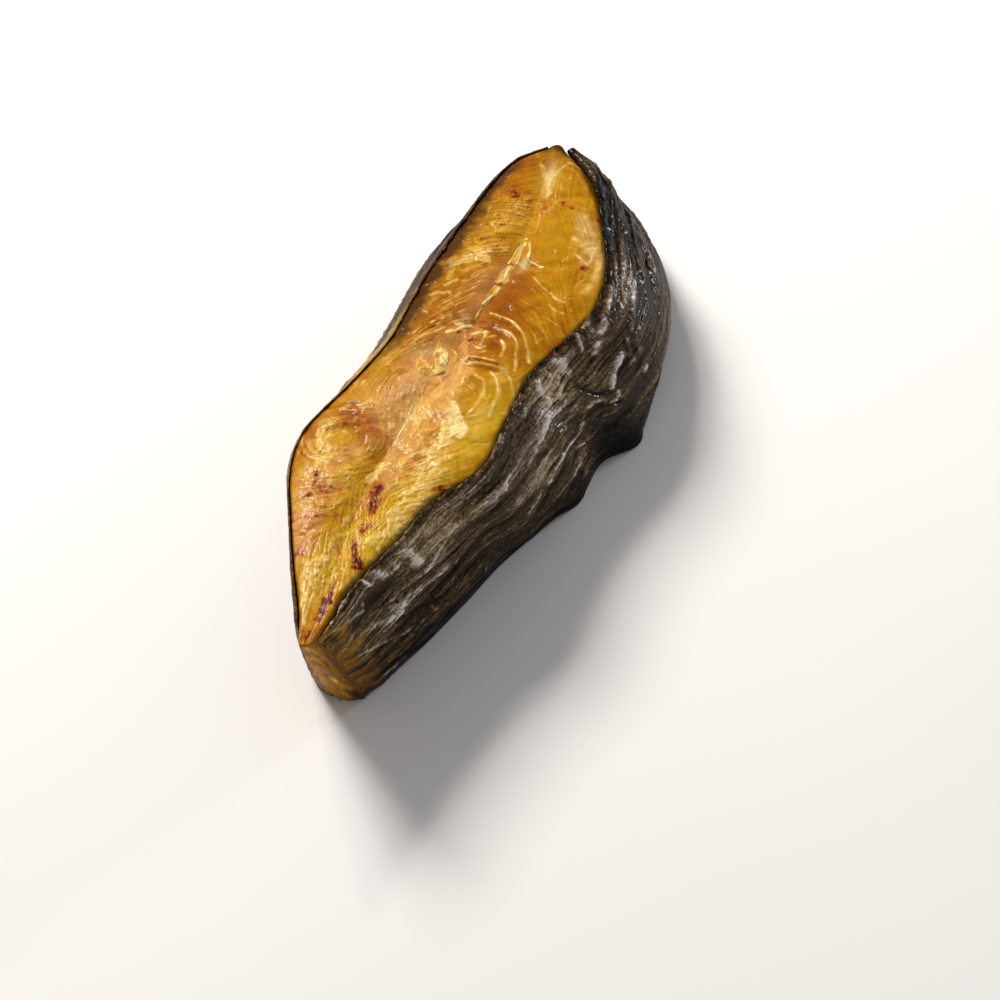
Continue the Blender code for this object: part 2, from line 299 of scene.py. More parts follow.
def level_at(s, point):
    """Where relief is allowed: 0 round the vertebra and at the fin edges, 1 elsewhere."""
    one = np.array(1.0)
    centre = steak_points(VERTEBRA_PLACE * one, VERTEBRA_ACROSS * one, one)
    from_bone = np.linalg.norm(point - centre, axis=1) / VERTEBRA_RADIUS
    seat = (from_bone - 1) / (BONE_SEAT - 1)
    return np.clip(np.minimum.reduce([FIN_FADE * s, FIN_FADE * (1 - s), seat]), 0, 1)


def broad_relief(s, t):
    """The height of the solid's cut face over its plane, without its crags."""
    point = steak_points(s, t, 1 + 0 * s)
    from_median = np.abs(point[:, 1] - median_at(s))
    width_share = np.clip(by_side(t, TOP_EDGES, s) / DOME_WIDTH, LOWEST_DOME, 1)
    dome_rise = DOME_RISE * width_share * np.where(t < 0, RIGHT_DOME, 1)
    dome = dome_rise * (1 - (2 * np.abs(t) - 1) ** 2)
    left_open = GROOVE_OPEN + GROOVE_VARIES * noise(point[:, 0] / GROOVE_FILL_PITCH, 0 * s, 2)
    groove = GROOVE_DEPTH * left_open * np.exp(-(from_median / GROOVE_WIDTH) ** 2)
    flakes = flake_relief(point) * np.clip(from_median / (2 * GROOVE_WIDTH), 0, 1)
    relief = dome - groove + SOFTER * (flakes - crack_relief(s, t))
    return relief * level_at(s, point) - EDGE_DROP * np.abs(t) ** EDGE_SHARPNESS


# %% [markdown]
# Fish muscle is made of fibres that lie side by side and turn from place to place. Painted lines
# would look combed, so the fibres are noise that is smeared along a heading. The heading at a
# place is the mean of a few marked ones, weighed by how close they are, and round a muscle centre
# it follows the ring.

# %% The heading of the fibres
# Place along and across in millimetres, and the heading in degrees from the steak's length.
HEADINGS = (
    (8, 2, 4), (25, 7, 12), (28, -3, 25), (33, 15, -70), (48, 14, -64), (45, 2, 20),
    (52, -10, -55), (64, -8, -40), (76, -12, -22), (82, 3, 12), (100, 12, -24), (115, 10, -33),
    (130, 9, -42), (145, 7, -55), (160, 5, -70), (172, 6, -74), (186, 5, -50), (188, -8, 15),
    (166, -10, 30), (154, -14, 18), (140, -11, 62), (128, -10, 66), (150, -26, -5), (130, -25, 15),
)
HEADING_REACH = 9.0
# Muscle centres: place along and across, and reach.
MUSCLE_CENTRES = ((108.5, -6.5, 15.0), (90.5, -8.0, 13.0), (65.1, 15.6, 10.0))
CENTRE_WEIGHT = 6.0
# Every marked heading counts at least this much, so that the mean exists far from all of them.
LEAST_WEIGHT = 1e-6


def marked_heading(x, y):
    """The weighted mean of the headings at places in millimetres, as the sides of twice its angle."""
    double_x, double_y = 0 * x, 0 * x
    for px, py, degrees in HEADINGS:
        weight = blob(x, y, (px, py), (HEADING_REACH, HEADING_REACH)) + LEAST_WEIGHT
        double_x += weight * math.cos(math.radians(2 * degrees))
        double_y += weight * math.sin(math.radians(2 * degrees))
    for px, py, reach in MUSCLE_CENTRES:
        weight = CENTRE_WEIGHT * blob(x, y, (px, py), (reach, reach)) ** 2
        tangent = np.arctan2(y - py, x - px) + np.pi / 2
        double_x += weight * np.cos(2 * tangent)
        double_y += weight * np.sin(2 * tangent)
    return double_x, double_y


# The mean is worked out once, for a grid of places 1 mm apart that covers the face.
GRID_LOW = (-10, -40)
GRID_PLACES = np.meshgrid(
    np.arange(230.0) + GRID_LOW[0], np.arange(80.0) + GRID_LOW[1], indexing="ij"
)
HEADING_GRID = np.stack(marked_heading(*GRID_PLACES))
HEADING_GRID /= np.linalg.norm(HEADING_GRID, axis=0)
print("headings worked out at", HEADING_GRID[0].size, "places")
# Fibres are smeared in steps of this share of their width, and are then given this contrast.
FIBRE_STEP = 0.8
FIBRE_CONTRAST = 1.4


def fibre_heading(x, y):
    """The fibres' heading at a place in millimetres. Opposite headings count as the same."""
    gx = np.clip(x - GRID_LOW[0], 0, HEADING_GRID.shape[1] - 1.001)
    gy = np.clip(y - GRID_LOW[1], 0, HEADING_GRID.shape[2] - 1.001)
    i, j = gx.astype(int), gy.astype(int)
    near = mix(HEADING_GRID[:, i, j], HEADING_GRID[:, i + 1, j], gx - i)
    far = mix(HEADING_GRID[:, i, j + 1], HEADING_GRID[:, i + 1, j + 1], gx - i)
    double_x, double_y = mix(near, far, gy - j)
    return np.arctan2(double_y, double_x) / 2


def fibres(x, y, width, reach, seed):
    """Noise smeared along the fibres: about -1 to 1, in lines of this width and reach."""
    step = FIBRE_STEP * width
    steps = round(reach / step)
    total = noise(x / width, y / width, seed)
    for way in (-step, step):
        px, py = x.copy(), y.copy()
        for _ in range(steps):
            heading = fibre_heading(px, py)
            px += way * np.cos(heading)
            py += way * np.sin(heading)
            total = total + noise(px / width, py / width, seed)
    return np.tanh(FIBRE_CONTRAST * total / math.sqrt(2 * steps + 1))


# %% [markdown]
# Between the flakes lie sheets of fat and tissue. Where the knife crossed them they show as pale
# lines: rings round the muscle centres, bands by the skin, and short dashes. They are drawn as
# smooth paths, and each lifts the flesh a little and colours it.

# %% Pale lines: path in millimetres, half width, and strength
FAT_LINES = (
    (((124.5, -5.0), (123.9, -7.5), (122.4, -12.5), (118.7, -16.8), (113.4, -19.4), (108.0, -20.6)),
     0.42, 1.0),
    (((118.8, -8.5), (118.3, -11.3), (116.8, -14.5), (113.9, -16.7), (108.7, -17.7), (103.6, -18.5)),
     0.38, 0.9),
    (((114.1, -11.9), (111.7, -13.8), (107.6, -14.3)), 0.55, 1.0),
    (((119.2, -19.7), (115.9, -21.2)), 0.30, 0.7),
    (((124.5, -19.0), (120.5, -22.2), (117.3, -23.5)), 0.30, 0.6),
    (((132.4, -20.2), (130.5, -22.3), (130.3, -24.4)), 0.38, 1.0),
    (((137.3, -19.2), (135.2, -21.8), (134.9, -23.9)), 0.47, 1.0),
    (((142.8, -12.3), (140.0, -15.2), (138.0, -17.8)), 0.34, 0.7),
    (((132.0, -12.0), (130.4, -15.5), (130.0, -18.5)), 0.26, 0.4),
    (((191.3, -3.9), (195.2, -4.3), (198.7, -5.2), (199.2, -6.9), (197.8, -9.2), (195, -12.4), (192.1, -14.8),
      (187.8, -16.3)), 0.30, 0.9),
    (((194.8, -5), (196.5, -6.7), (195.1, -9.3), (190.7, -12.1)), 0.22, 0.5),
    (((145.8, -9.9), (146.2, -14), (147.6, -18.5)), 0.22, 0.4),
    (((105.3, -5.2), (105.4, -8.3), (105.3, -13.5)), 0.38, 1.0),
    (((101.5, -4.5), (103.3, -8.2), (103.2, -15.3), (102.1, -17.2)), 0.51, 0.8),
    (((102.1, -15.7), (100.5, -18.1), (97.4, -19.4), (92.5, -20.4), (86.9, -20.5)), 0.36, 0.8),
    (((101.2, -12.8), (98.5, -15.4), (94.3, -17.0), (89.3, -17.4), (84.2, -17.5)), 0.51, 1.0),
    (((98.5, -9.8), (97.0, -12.6), (93.9, -13.8), (90.4, -13.8), (86.3, -13.4), (83.2, -12.5)), 0.51, 1.0),
    (((96.0, -7.1), (99.4, -8.7)), 0.42, 0.7),
    (((150.3, -8.2), (148.6, -11.0), (147.9, -13.4)), 0.38, 1.0),
    (((147.9, -13.4), (147.8, -17), (149.2, -20.7)), 0.26, 0.5),
    (((156.5, -20.9), (153.3, -24.5)), 0.51, 0.9),
    (((163.6, -18.1), (160.5, -22.5), (157.0, -26.2), (150.6, -27.4), (141.0, -27.4)), 1.10, 0.8),
    (((176.5, -17.0), (172.0, -19.5), (166.5, -22.5)), 0.77, 0.6),
    (((158.1, -5.9), (154.5, -7.2), (151.3, -7.7)), 0.38, 1.1),
    (((48.7, 3.4), (42.4, 3.9), (32.2, 4.5), (22.0, 3.6)), 0.38, 0.7),
    (((34.0, -1.5), (28.0, -3.8), (20.0, -4.0)), 0.42, 0.7),
)
# The gaps that lie beside some of the lines. They are sunk, and painted dark through the blood mask as
# painted shade.
DARK_LINES = (
    (((104.3, -5.5), (104.3, -8.6), (104.2, -14.5)), 0.40, 1.0),
    (((101.6, -5.0), (101.9, -9.5), (101.7, -15.0)), 0.35, 0.7),
    (((97.0, -2.5), (92.0, -0.5), (87.5, 0.8)), 0.45, 0.8),
    (((139.5, -5.0), (136.5, -7.2)), 0.45, 0.8),
    (((152.3, -8.6), (148.3, -9.2), (147.2, -12.6)), 0.28, 0.8),
    (((172.8, -5.2), (170.8, -5.9)), 0.30, 0.9),
    (((31.2, 4.1), (27.0, 1.9), (21.9, 0.5)), 0.55, 0.8),
    (((33.8, 17.7), (35.6, 14.1), (37.8, 9.0)), 0.25, 0.9),
    (((31.0, 16.7), (31.4, 14.3)), 0.25, 0.8),
)
LINE_REACH = 4.0
# How far a line strays, and over what length, in millimetres.
LINE_STRAY = 0.25
LINE_STRAY_PITCH = 1.7
# How much of a line shows, how much that varies, over what length in millimetres, and at most.
LINE_SHOWS = 0.72
LINE_VARIES = 0.45
LINE_BREAK = 2.2
LINE_TOP = 1.2


def lines(x, y, drawn):
    """How strongly the drawn lines show at each place, broken up unevenly along their run."""
    total = 0 * x
    stray = LINE_STRAY * noise(x / LINE_STRAY_PITCH, y / LINE_STRAY_PITCH, 5)
    for k, (path, half_width, strength) in enumerate(drawn):
        distance = from_path(x, y, path, LINE_REACH) + stray
        patchy = LINE_SHOWS + LINE_VARIES * noise(x / LINE_BREAK, y / LINE_BREAK, 40 + k)
        total = np.maximum(total, strength * patchy * np.exp(-(distance / half_width) ** 2))
    return np.clip(total, 0, LINE_TOP)


# %% [markdown]
# Bundles of fibres fan out between the lines. A bundle is a family of paths between a first and a
# last one, unevenly spaced. Each fibre starts and stops somewhere along its path, and a gap runs
# beside it, painted dark as painted shade.

# %% Bundles of fibres: first path, last path, and how many fibres
BUNDLES = (
    (((102.8, 14.2), (108.5, 10), (113.3, 5.9), (118, 2.3)), ((134.1, 7.7), (138.3, 4.7), (143.6, 1.7)), 19),
    (((93.3, 14.5), (97, 11), (102.1, 8.3)), ((102.8, 14.2), (108.5, 10), (113.3, 5.9)), 6),
    (((149.2, 6.8), (152.4, 2.8), (155.2, -1.4)), ((171.2, 8.1), (173.3, 3.3), (172.9, -2)), 12),
    (((44.8, -5.3), (48.4, -9.8), (53.3, -13.6)), ((70.4, -5.5), (72.9, -8.4), (75.9, -11.7)), 34),
    (((29.5, -6.1), (35.5, -6.4), (41.6, -6.5)), ((44.8, -5.3), (48.1, -6.5), (52.2, -7.7)), 12),
    (((3.3, 2.7), (9.6, 5.7), (16.3, 7.7), (20.3, 7.8)),
     ((3.3, 0.7), (10.9, 1.5), (20.1, 2.1), (29.1, 3)), 12),
    (((21.1, 11.7), (25.9, 9.5), (30.1, 7.5)), ((39.9, 19.3), (41.9, 16.6), (43.3, 13.2)), 9),
    (((75.6, -19.4), (74.3, -17.6), (73.3, -15.8)), ((84.3, -18.2), (82.6, -16.6), (80.8, -14.5)), 5),
    (((132.2, -16.7), (128.8, -20.6), (127.3, -24.1)), ((142.2, -23.8), (145.1, -25.3), (149.1, -26.2)), 5),
    (((124, 13), (132, 8), (139, 3.2)), ((140, 8), (146, 3), (150, -1)), 8),
)
BUNDLE_POINTS = 5
FIBRE_WIDTH = 0.30
# How far a fibre strays from its even place, in spacings, and from its path, in millimetres.
SPACING_STRAY = 0.45
PATH_STRAY = 0.22
# How far from its fibre a gap lies, along and across, in millimetres.
GAP_SHIFT = (0.55, 0.2)
# The least and the most width, in fibre widths, and strength.
PALE_RANGE = ((0.7, 1.4), (0.35, 1.0))
DARK_RANGE = ((0.8, 1.6), (0.3, 0.9))


def draw_fibre(path, draw, widths, strengths):
    """A line along the path, with a half width and a strength drawn by chance."""
    return path, FIBRE_WIDTH * draw.uniform(*widths), draw.uniform(*strengths)


def spread_fibres(bundles, draw):
    """The pale and the dark lines of the bundles, as paths with a half width and a strength."""
    pale, dark = [], []
    for first, last, count in bundles:
        run = np.linspace(0, 1, BUNDLE_POINTS)
        ends = []
        for path in (first, last):
            smooth = smooth_path(path)
            places = np.linspace(0, 1, len(smooth))
            ends.append(np.stack([np.interp(run, places, smooth[:, k]) for k in (0, 1)], -1))
        for k in range(count):
            share = (k + draw.uniform(-SPACING_STRAY, SPACING_STRAY)) / (count - 1)
            path = mix(ends[0], ends[1], share) + draw.normal(0, PATH_STRAY, (BUNDLE_POINTS, 2))
            start, stop = sorted(draw.choice(BUNDLE_POINTS, 2, replace=False))
            stop = max(stop, start + 2)
            path = path[start:stop + 1]
            pale.append(draw_fibre(path, draw, *PALE_RANGE))
            dark.append(draw_fibre(path + GAP_SHIFT, draw, *DARK_RANGE))
    return pale, dark


PALE_FIBRES, DARK_FIBRES = spread_fibres(BUNDLES, np.random.default_rng(5))
print("fibres drawn one by one:", len(PALE_FIBRES))

# %% [markdown]
# Where the knife or the heat lifted a flake, a pale scrap with a crisp, ragged border lies on the
# amber. Each is a short path with a half width, and noise frays its border.

# %% Torn flakes: path in millimetres, half width, and how pale
FLAKES = (
    (((141.7, 12.1), (144, 9.5), (146.3, 6.7), (146.4, 3.2)), 1.7, 0.75),
    (((138.8, 7.8), (141.9, 5.6), (143.1, 3)), 0.7, 0.5),
    (((127.1, 13.6), (128.4, 11.1), (129.1, 9)), 0.8, 0.7),
    (((121.3, 13.3), (123.9, 12.2), (126.6, 11)), 0.6, 0.6),
    (((131.7, 11), (133.4, 9.9), (134.8, 8.5)), 0.8, 0.6),
    (((136.2, 11.4), (139.6, 11.1)), 0.8, 0.55),
    (((114.8, 15.1), (118.2, 14.5)), 0.5, 0.8),
    (((163.6, 6.6), (164.5, 2.1), (166.2, -1.6)), 0.9, 0.5),
    (((169.6, 5.2), (170.2, 1.7), (169.8, -1.8)), 0.7, 0.55),
    (((156.7, 7.7), (159, 5.2), (161.3, 2.6)), 0.9, 0.45),
    (((149.8, 9.4), (151.3, 6.3), (153.3, 3)), 1.1, 0.55),
    (((105.8, 3.3), (104.2, 1.7), (101.1, 0.6)), 1.4, 1.0),
    (((97.8, 3.1), (96.8, 0.8), (98.3, -1.2)), 0.8, 0.8),
    (((106.8, 0.3), (105.2, -1.4), (102.3, -1.8)), 0.6, 0.7),
    (((102.3, 7.5), (104.4, 6.5)), 0.4, 1.2),
    (((100.8, 7), (99.3, 5), (97.3, 3.2)), 0.4, 0.9),
    (((117.1, 2.3), (117.2, 0.6), (117.7, -0.9)), 0.9, 1.05),
    (((113.1, 3.8), (114.1, 1.9), (115.8, 0.8)), 0.7, 1.0),
    (((115.4, -0.5), (112.9, -1.1)), 0.6, 0.95),
    (((114.9, -3.3), (115.8, -4.7), (115.9, -6.4), (113.9, -7)), 0.9, 0.9),
    (((114, -7.5), (114.8, -8.7), (115.6, -9.6)), 0.7, 0.6),
    (((109.9, -5.5), (109.5, -7), (110.4, -8.4)), 0.6, 0.85),
    (((107.6, -6.2), (107.6, -7.9), (108.4, -9)), 0.5, 0.65),
    (((109.5, -2.8), (106, -4.2), (103.7, -5)), 0.5, 0.6),
    (((86.5, -6.5), (85, -8.8), (82.5, -10.2)), 1.3, 1.0),
    (((81.8, -9.2), (79.2, -11), (76.2, -12.8)), 2.5, 1.1),
    (((78.2, -8.2), (75.5, -10.0), (73.0, -11.0)), 1.8, 0.9),
    (((66.0, -6.5), (69.0, -9.0), (72.5, -12.0)), 1.4, 0.85),
    (((61.0, -7.0), (64.5, -10.0), (66.5, -13.0)), 1.4, 0.8),
    (((56.5, -7.0), (59.0, -10.0), (62.0, -13.5)), 1.1, 0.7),
    (((52.9, 3.9), (55.3, 3.5), (57.8, 2.8), (60.3, 2.1)), 1.3, 0.85),
    (((60.9, 2.6), (64.3, 2.8), (66.3, 3.8)), 0.6, 0.6),
    (((68.4, 20.6), (66.1, 21.7), (63.2, 21.1), (60.7, 19), (59.9, 16.8)), 1.4, 0.7),
    (((55.5, 18.3), (55.7, 16.5), (57.3, 15.2)), 0.6, 0.7),
    (((75.3, 20.3), (77.1, 18.7)), 0.8, 0.6),
    (((78.4, 15.6), (79.9, 13.7), (80.1, 11.6)), 1.1, 0.6),
    (((51.1, 21.7), (49.5, 19.4), (50.6, 17.2)), 0.9, 0.55),
    (((38.6, 17.7), (38.5, 14.5), (38.1, 11.2)), 1.4, 0.5),
    (((17.7, 7.2), (20.7, 6.4), (23.1, 5.3), (24.1, 4.4)), 1.6, 0.75),
    (((15.9, 6.8), (10.1, 4.2), (3.8, 1.4)), 0.9, 0.75),
    (((36.7, 1), (34, -0.5), (31.7, -1.9)), 0.7, 0.7),
    (((30.7, 2.1), (29.3, 1)), 0.7, 0.7),
    (((31.6, -6.3), (29.2, -7.4)), 0.5, 0.9),
    (((174.1, -18.6), (169.6, -20.5), (166.7, -22.2)), 0.9, 0.5),
    (((162.2, -19), (160.4, -22.5), (156.6, -25.9), (151.7, -28.4)), 1.5, 0.45),
    (((181, -4.8), (186, -3.3), (190, -2.4)), 1.0, 0.75),
    (((188, -2.4), (192, -0.6), (195.3, 1.6)), 0.9, 0.7),
    (((188, -3.1), (192.5, -3.6), (197.4, -5.4)), 0.7, 0.65),
    (((189.5, -2.4), (193.5, -2.2)), 1.5, 0.5),
    (((196.8, 2.4), (192.1, 0.4), (187.5, -1.9)), 0.5, 0.6),
    (((172.3, -4.9), (167.5, -5.8), (162.6, -6.1)), 0.4, 0.8),
    (((58.0, 15.5), (56.7, 17.1), (54.5, 18.2), (52.0, 17.4)), 1.0, 0.7),
)
# Films of pinkish tissue beside the vertebra, drawn the same way.
MEMBRANES = (
    (((100.0, -5.0), (93.5, -4.2), (88.0, -3.0), (82.0, -1.2), (78.0, 0.5)), 3.2, 0.80),
    (((98.0, 5.5), (92.5, 6.2), (86.5, 7.6), (81.5, 10.5)), 2.9, 1.0),
    (((96.5, 1.0), (90.5, 1.2), (85.0, 2.5)), 1.8, 0.80),
    (((80.0, 3.4), (75.5, 4.4), (71.0, 5.6)), 1.8, 0.70),
    (((74.0, -4.0), (68.0, -3.6), (62.0, -3.0)), 1.5, 0.55),
)
# How ragged a border is, over what length, and the border's inner and outer side, in millimetres.
FRAY = 0.60
FRAY_PITCH = 2.4
BORDER = (-0.2, 0.6)


def torn_flakes(x, y, drawn):
    """How pale the torn flakes are at each place, and 0 outside their ragged borders."""
    ragged = FRAY * rough_noise(x / FRAY_PITCH, y / FRAY_PITCH, 51)
    total = 0 * x
    for path, half_width, pale in drawn:
        inside = half_width - from_path(x, y, path, half_width + 2) + ragged * min(1, half_width)
        total = np.maximum(total, pale * smooth_step(*BORDER, inside))
    return total


# %% [markdown]
# The colours of the real face run from deep amber to golden yellow, with cream where fat or torn
# flakes show, a pinkish skin of tissue by the backbone, and red-brown flecks of blood. The cream
# also paints highlight where wet crags catch the light, and dark gaps are painted shade. Each is a
# mask on the mesh, laid down as soft patches, so that the material can mix them.

# %% Patches of colour: place along and across, reach along and across, turn, and strength
# Gold patches make the amber more golden, or deeper where their strength is below 0.
GOLD_PATCHES = (
    (155, -15, 24, 10, 0, 0.10), (78, -17, 18, 5, 0, 0.35), (190, 6, 10, 6, 0, -0.25),
    (130, -8, 18, 8, 0, -0.38), (110, -9, 12, 9, 0, -0.18), (122, 7, 28, 7, -10, -0.14),
    (92, -16, 12, 5, 0, 0.10), (50, -8, 20, 6, 0, 0.45), (60, 18, 16, 6, 0, 0.22),
    (18, 4, 14, 5, 5, 0.38), (148, 9, 12, 4, 0, 0.20), (165, 3, 10, 6, 0, 0.18),
    (72, 8, 5, 4, 0, -0.30), (61, 11, 5, 4, 0, -0.15), (42.6, 5, 6, 3.0, 0, -0.20),
    (37.4, 5, 4, 3, 0, -0.15), (73, 17, 5, 3.5, 0, -0.55), (62, 24, 11, 1.8, 0, -0.30),
    (92, 6, 5, 3, 0, -0.35), (196, -3, 4, 10, 0, -0.20), (29, 12, 9, 4, 0, -0.30),
    (66, -5, 10, 1.8, 0, -0.35), (50, 0, 6, 3, 0, -0.20), (90, 16, 14, 3, -8, 0.08),
    (38, -7, 12, 4, -20, 0.45), (38, 6, 22, 12, 0, 0.30), (83, -1, 11, 5, 0, 0.28),
    (192, 0, 9, 8, 0, 0.30), (98, 12, 14, 5, 0, 0.14), (48, 14, 14, 6, 0, 0.20),
)
CREAM_PATCHES = (
    (68, -8.5, 9, 4.5, -15, 1.0), (57, -9.5, 8, 4.5, -20, 0.95), (78, -11.5, 5.0, 2.6, -20, 0.9),
    (46, -9, 7, 3.5, -25, 0.80), (56, 17, 10, 6, 0, 0.45), (150, 4.5, 6.5, 3.0, -50, 0.55),
    (146, 9, 9, 3.4, -50, 0.75), (165, 1, 8, 5, 0, 0.35), (18, 5.0, 12, 2.6, 6, 0.80),
    (43, 14, 8, 6, 0, 0.25), (38, -6, 9, 4, -20, 0.70), (81, 12, 6, 3, 0, 0.50),
    (158, -24, 9, 2.2, 15, 0.5), (171, -19, 6, 1.6, 20, 0.5), (30, 12, 7, 5, -60, 0.15),
    (190, -4, 12, 5, 0, 0.20), (44, 2, 8, 4, 10, 0.35), (66, 20, 8, 3, 0, 0.5), (102, 3, 7, 5, 0, 0.5),
    (176, 4, 8, 4, 0, 0.3), (83, -1, 11, 5, 0, 0.40), (72, 1, 8, 4, 0, 0.35),
)
ROSE_PATCHES = (
    (84, 3, 12, 8, 0, 0.8), (79, 9, 9, 6, 20, 0.8), (59, 12.8, 5, 2.4, -30, 0.9),
    (46.5, 14, 6, 5, 0, 0.7), (138, 1.2, 12, 2.4, -20, 0.45), (52, 15, 6, 5, 0, 0.35),
    (33, 15, 5, 4.5, -60, 1.0), (25, 12, 5, 2.5, 20, 0.8), (97, -2, 3.5, 2.5, 0, 0.9),
    (108, -4, 3.5, 1.4, 30, 0.9), (68, -2.5, 10, 4, 0, 0.70), (56, -1, 5, 3, 0, 0.5),
    (94, -2, 4, 3, 0, 0.7), (83, -6.5, 5, 3, 0, 0.8), (103, 4, 7, 5, 0, 0.7), (113, 1, 6, 4, 0, 0.5),
    (128, -0.5, 9, 2.0, -12, 0.6), (98, 9, 8, 3, 30, 0.5), (40, 17, 10, 4, 0, 0.4),
)
BLOOD_PATCHES = (
    (178.4, 4.4, 2.0, 2.6, 0, 1.1), (180.0, 7.0, 1.2, 1.6, 0, 0.9), (180.4, 1.2, 1.0, 1.6, 0, 0.8),
    (178.4, -5.0, 2.2, 2.0, 0, 0.7), (176.6, -7.8, 1.3, 1.6, 0, 0.6), (178.8, -10.4, 1.6, 1.6, 0, 1.0),
    (177.2, -13.4, 1.2, 1.6, 0, 0.9), (177.0, -17.0, 1.2, 1.6, 0, 0.6),
    (175.8, -20.8, 1.8, 1.2, 0, 1.1), (174.8, -5.6, 2.0, 2.0, 0, 0.6), (151.0, -24.6, 1.3, 1.6, 0, 1.3),
    (55.4, -13.4, 1.8, 2.0, 0, 1.2), (46.3, 14.2, 3.6, 3.4, 0, 0.70), (42.8, 17.0, 1.8, 1.8, 0, 0.8),
    (46.8, 9.3, 2.4, 2.4, 30, 0.60), (50.4, 0.6, 4.0, 1.8, 10, 1.0), (44.4, -0.5, 3.0, 2.0, 0, 0.95),
    (37.0, -1.0, 2.2, 1.6, 0, 1.05), (25.2, -3.3, 2.4, 1.6, 20, 1.7), (29.8, -1.2, 4.2, 1.5, 27, 0.95),
    (14.5, -0.7, 6.0, 0.9, 2, 1.2), (9.4, -0.6, 3.6, 1.1, 3, 1.7), (70.3, 9.8, 7.0, 4.0, 50, 0.60),
    (30.0, 13.2, 7.0, 4.0, 0, 0.42), (24.6, 10.8, 4.0, 2.4, -30, 0.50), (47, 2, 9, 3.5, 10, 0.30),
    (45, 15, 8, 5, 0, 0.20), (86, 12, 8, 3, 0, 0.25), (60, 6, 9, 3, 10, 0.18),
    (55.4, 13.2, 1.0, 2.6, 0, 0.7), (50.7, 16.9, 1.3, 1.3, 0, 0.9), (73, 16, 3.5, 3, 0, 0.35),
    (91.5, 6, 4, 3, 0, 0.35), (64, -5.0, 9, 1.4, 0, 0.45), (114.1, 0.7, 1.1, 0.8, 0, 0.95),
    (111.8, -3.1, 0.9, 0.9, 0, 1.3), (67, 11.5, 5, 3, 30, 0.20), (39.2, 10.3, 3.0, 2.6, 0, 0.50),
    (57.8, -2, 3.0, 2.0, 0, 0.55), (34, 18.5, 4, 1.6, 0, 0.5), (108.2, -4.1, 1.6, 1.0, 0, 0.45),
    (1.0, 0.0, 3.5, 3.0, 0, 1.0),
)
# Cartilage and its film are a pale, greenish white.
PEARL_PATCHES = (
    (190, -2.4, 7, 2.0, 8, 0.85), (147.6, -7.4, 3.0, 1.4, -5, 1.0), (104, 6.5, 2.4, 1.2, -60, 0.7),
    (88, 6, 7, 2.0, -20, 0.35), (99, 0, 3, 1.5, 0, 0.4), (83, -7.2, 1.8, 1.2, 0, 0.8),
    (70, 2.2, 10, 1.0, 4, 0.4), (119, 0.8, 3, 1.2, 0, 0.4), (162, -23, 8, 2.4, 15, 0.35),
    (170, -19, 6, 1.6, 20, 0.35),
)
# How golden the right and the left half are before the patches.
BASE_GOLD = (0.66, 0.58)
# How ragged the patches' borders are, and how far that moves a border, in millimetres.
PATCH_RAGGED = 0.45
RAGGED_REACH = 3.0


def patches(x, y, drawn, raggedness, seed, pitch=5.0):
    """The sum of the patches, whose borders are ragged at this pitch."""
    dx, dy = [
        raggedness * RAGGED_REACH * rough_noise(x / pitch, y / pitch, number)
        for number in (seed, seed + 9)
    ]
    total = 0 * x
    for px, py, along, across, turn, strength in drawn:
        total = total + strength * blob(x + dx, y + dy, (px, py), (along, across), turn)
    return total


# %% [markdown]
# The fine relief comes last: fibres everywhere, crags where the flesh tore, smooth tissue by the
# backbone and inside the rings. It could be sculpted by hand, but then the colours would have to
# be painted to fit. Here the relief and the masks that the material reads are mixed from the same
# layers, so a crest is painted pale, as painted highlight, and the hollow beside it deep amber, as
# painted shade.

# %% Layers of the cut face
# Where the surface is torn into crags, and where it is smooth: patches, as above.
TORN_PATCHES = (
    (50, 14, 24, 9, 0, 0.70), (70, -1, 13, 5, 0, 0.50), (56, -9, 16, 6, -20, 0.15),
    (150, 8, 22, 7, -5, 0.50), (165, 1, 12, 6, 0, 0.30), (30, 0, 18, 7, 0, 0.7),
    (83, -11, 7, 4, -20, 0.3), (112, -3, 6, 5, 0, 0.9), (176, -4, 5, 14, 0, 0.7), (98, 4, 8, 6, 0, 0.6),
    (84, 2, 12, 8, 0, 0.60), (162, -24, 14, 4, 10, 0.8), (40, -8, 10, 6, 0, 0.3),
    (88, 14, 16, 5, -8, 0.35),
)
SMOOTH_PATCHES = (
    (84, 3, 12, 8, 0, 0.3), (157, -12, 18, 8, 0, 0.9), (132, -8, 12, 9, 0, 0.9),
    (110, -12, 12, 8, 0, 0.6), (90, -14, 14, 7, 0, 0.6), (138, 7, 12, 5, -10, 0.6),
    (75, -18, 8, 3, 0, 0.6), (192, -3, 12, 10, 0, 0.9), (165, 2, 12, 7, 0, 0.4), (64, 17, 7, 6, 0, 0.7),
)
# Patches that become layers: name, patches, raggedness and seed.
PATCH_LAYERS = (
    ("torn", TORN_PATCHES, PATCH_RAGGED, 61),
    ("smooth", SMOOTH_PATCHES, PATCH_RAGGED, 63),
    ("cream", CREAM_PATCHES, PATCH_RAGGED, 71),
    ("rose", ROSE_PATCHES, PATCH_RAGGED, 73),
    ("pearl", PEARL_PATCHES, 0.30, 91),
)
# Noise that becomes layers: name, the length and width of its lumps in millimetres, seed, and how
# many finer ones lie on each other. The warped ones are bent out of line.
WARPED_LAYERS = (("scraps", 4.2, 3.0, 25, 4), ("crags", 3.4, 2.4, 21, 3), ("blotch", 6.5, 4.5, 79, 4))
STRAIGHT_LAYERS = (("pits", 1.3, 1.3, 31, 2), ("cloud", 8.0, 4.5, 88, 4))
WARP = 2.2
WARP_PITCH = 5.0
FILM_WARP = 0.7
# A pale veil lies on the near part, partly cream wisps and partly painted highlight. The near part begins
# between these places, in millimetres.
NEAR_PART = (118, 96)


def weigh(face, **weights):
    """The sum of these layers, each times its weight."""
    return sum(weight * getattr(face, name) for name, weight in weights.items())


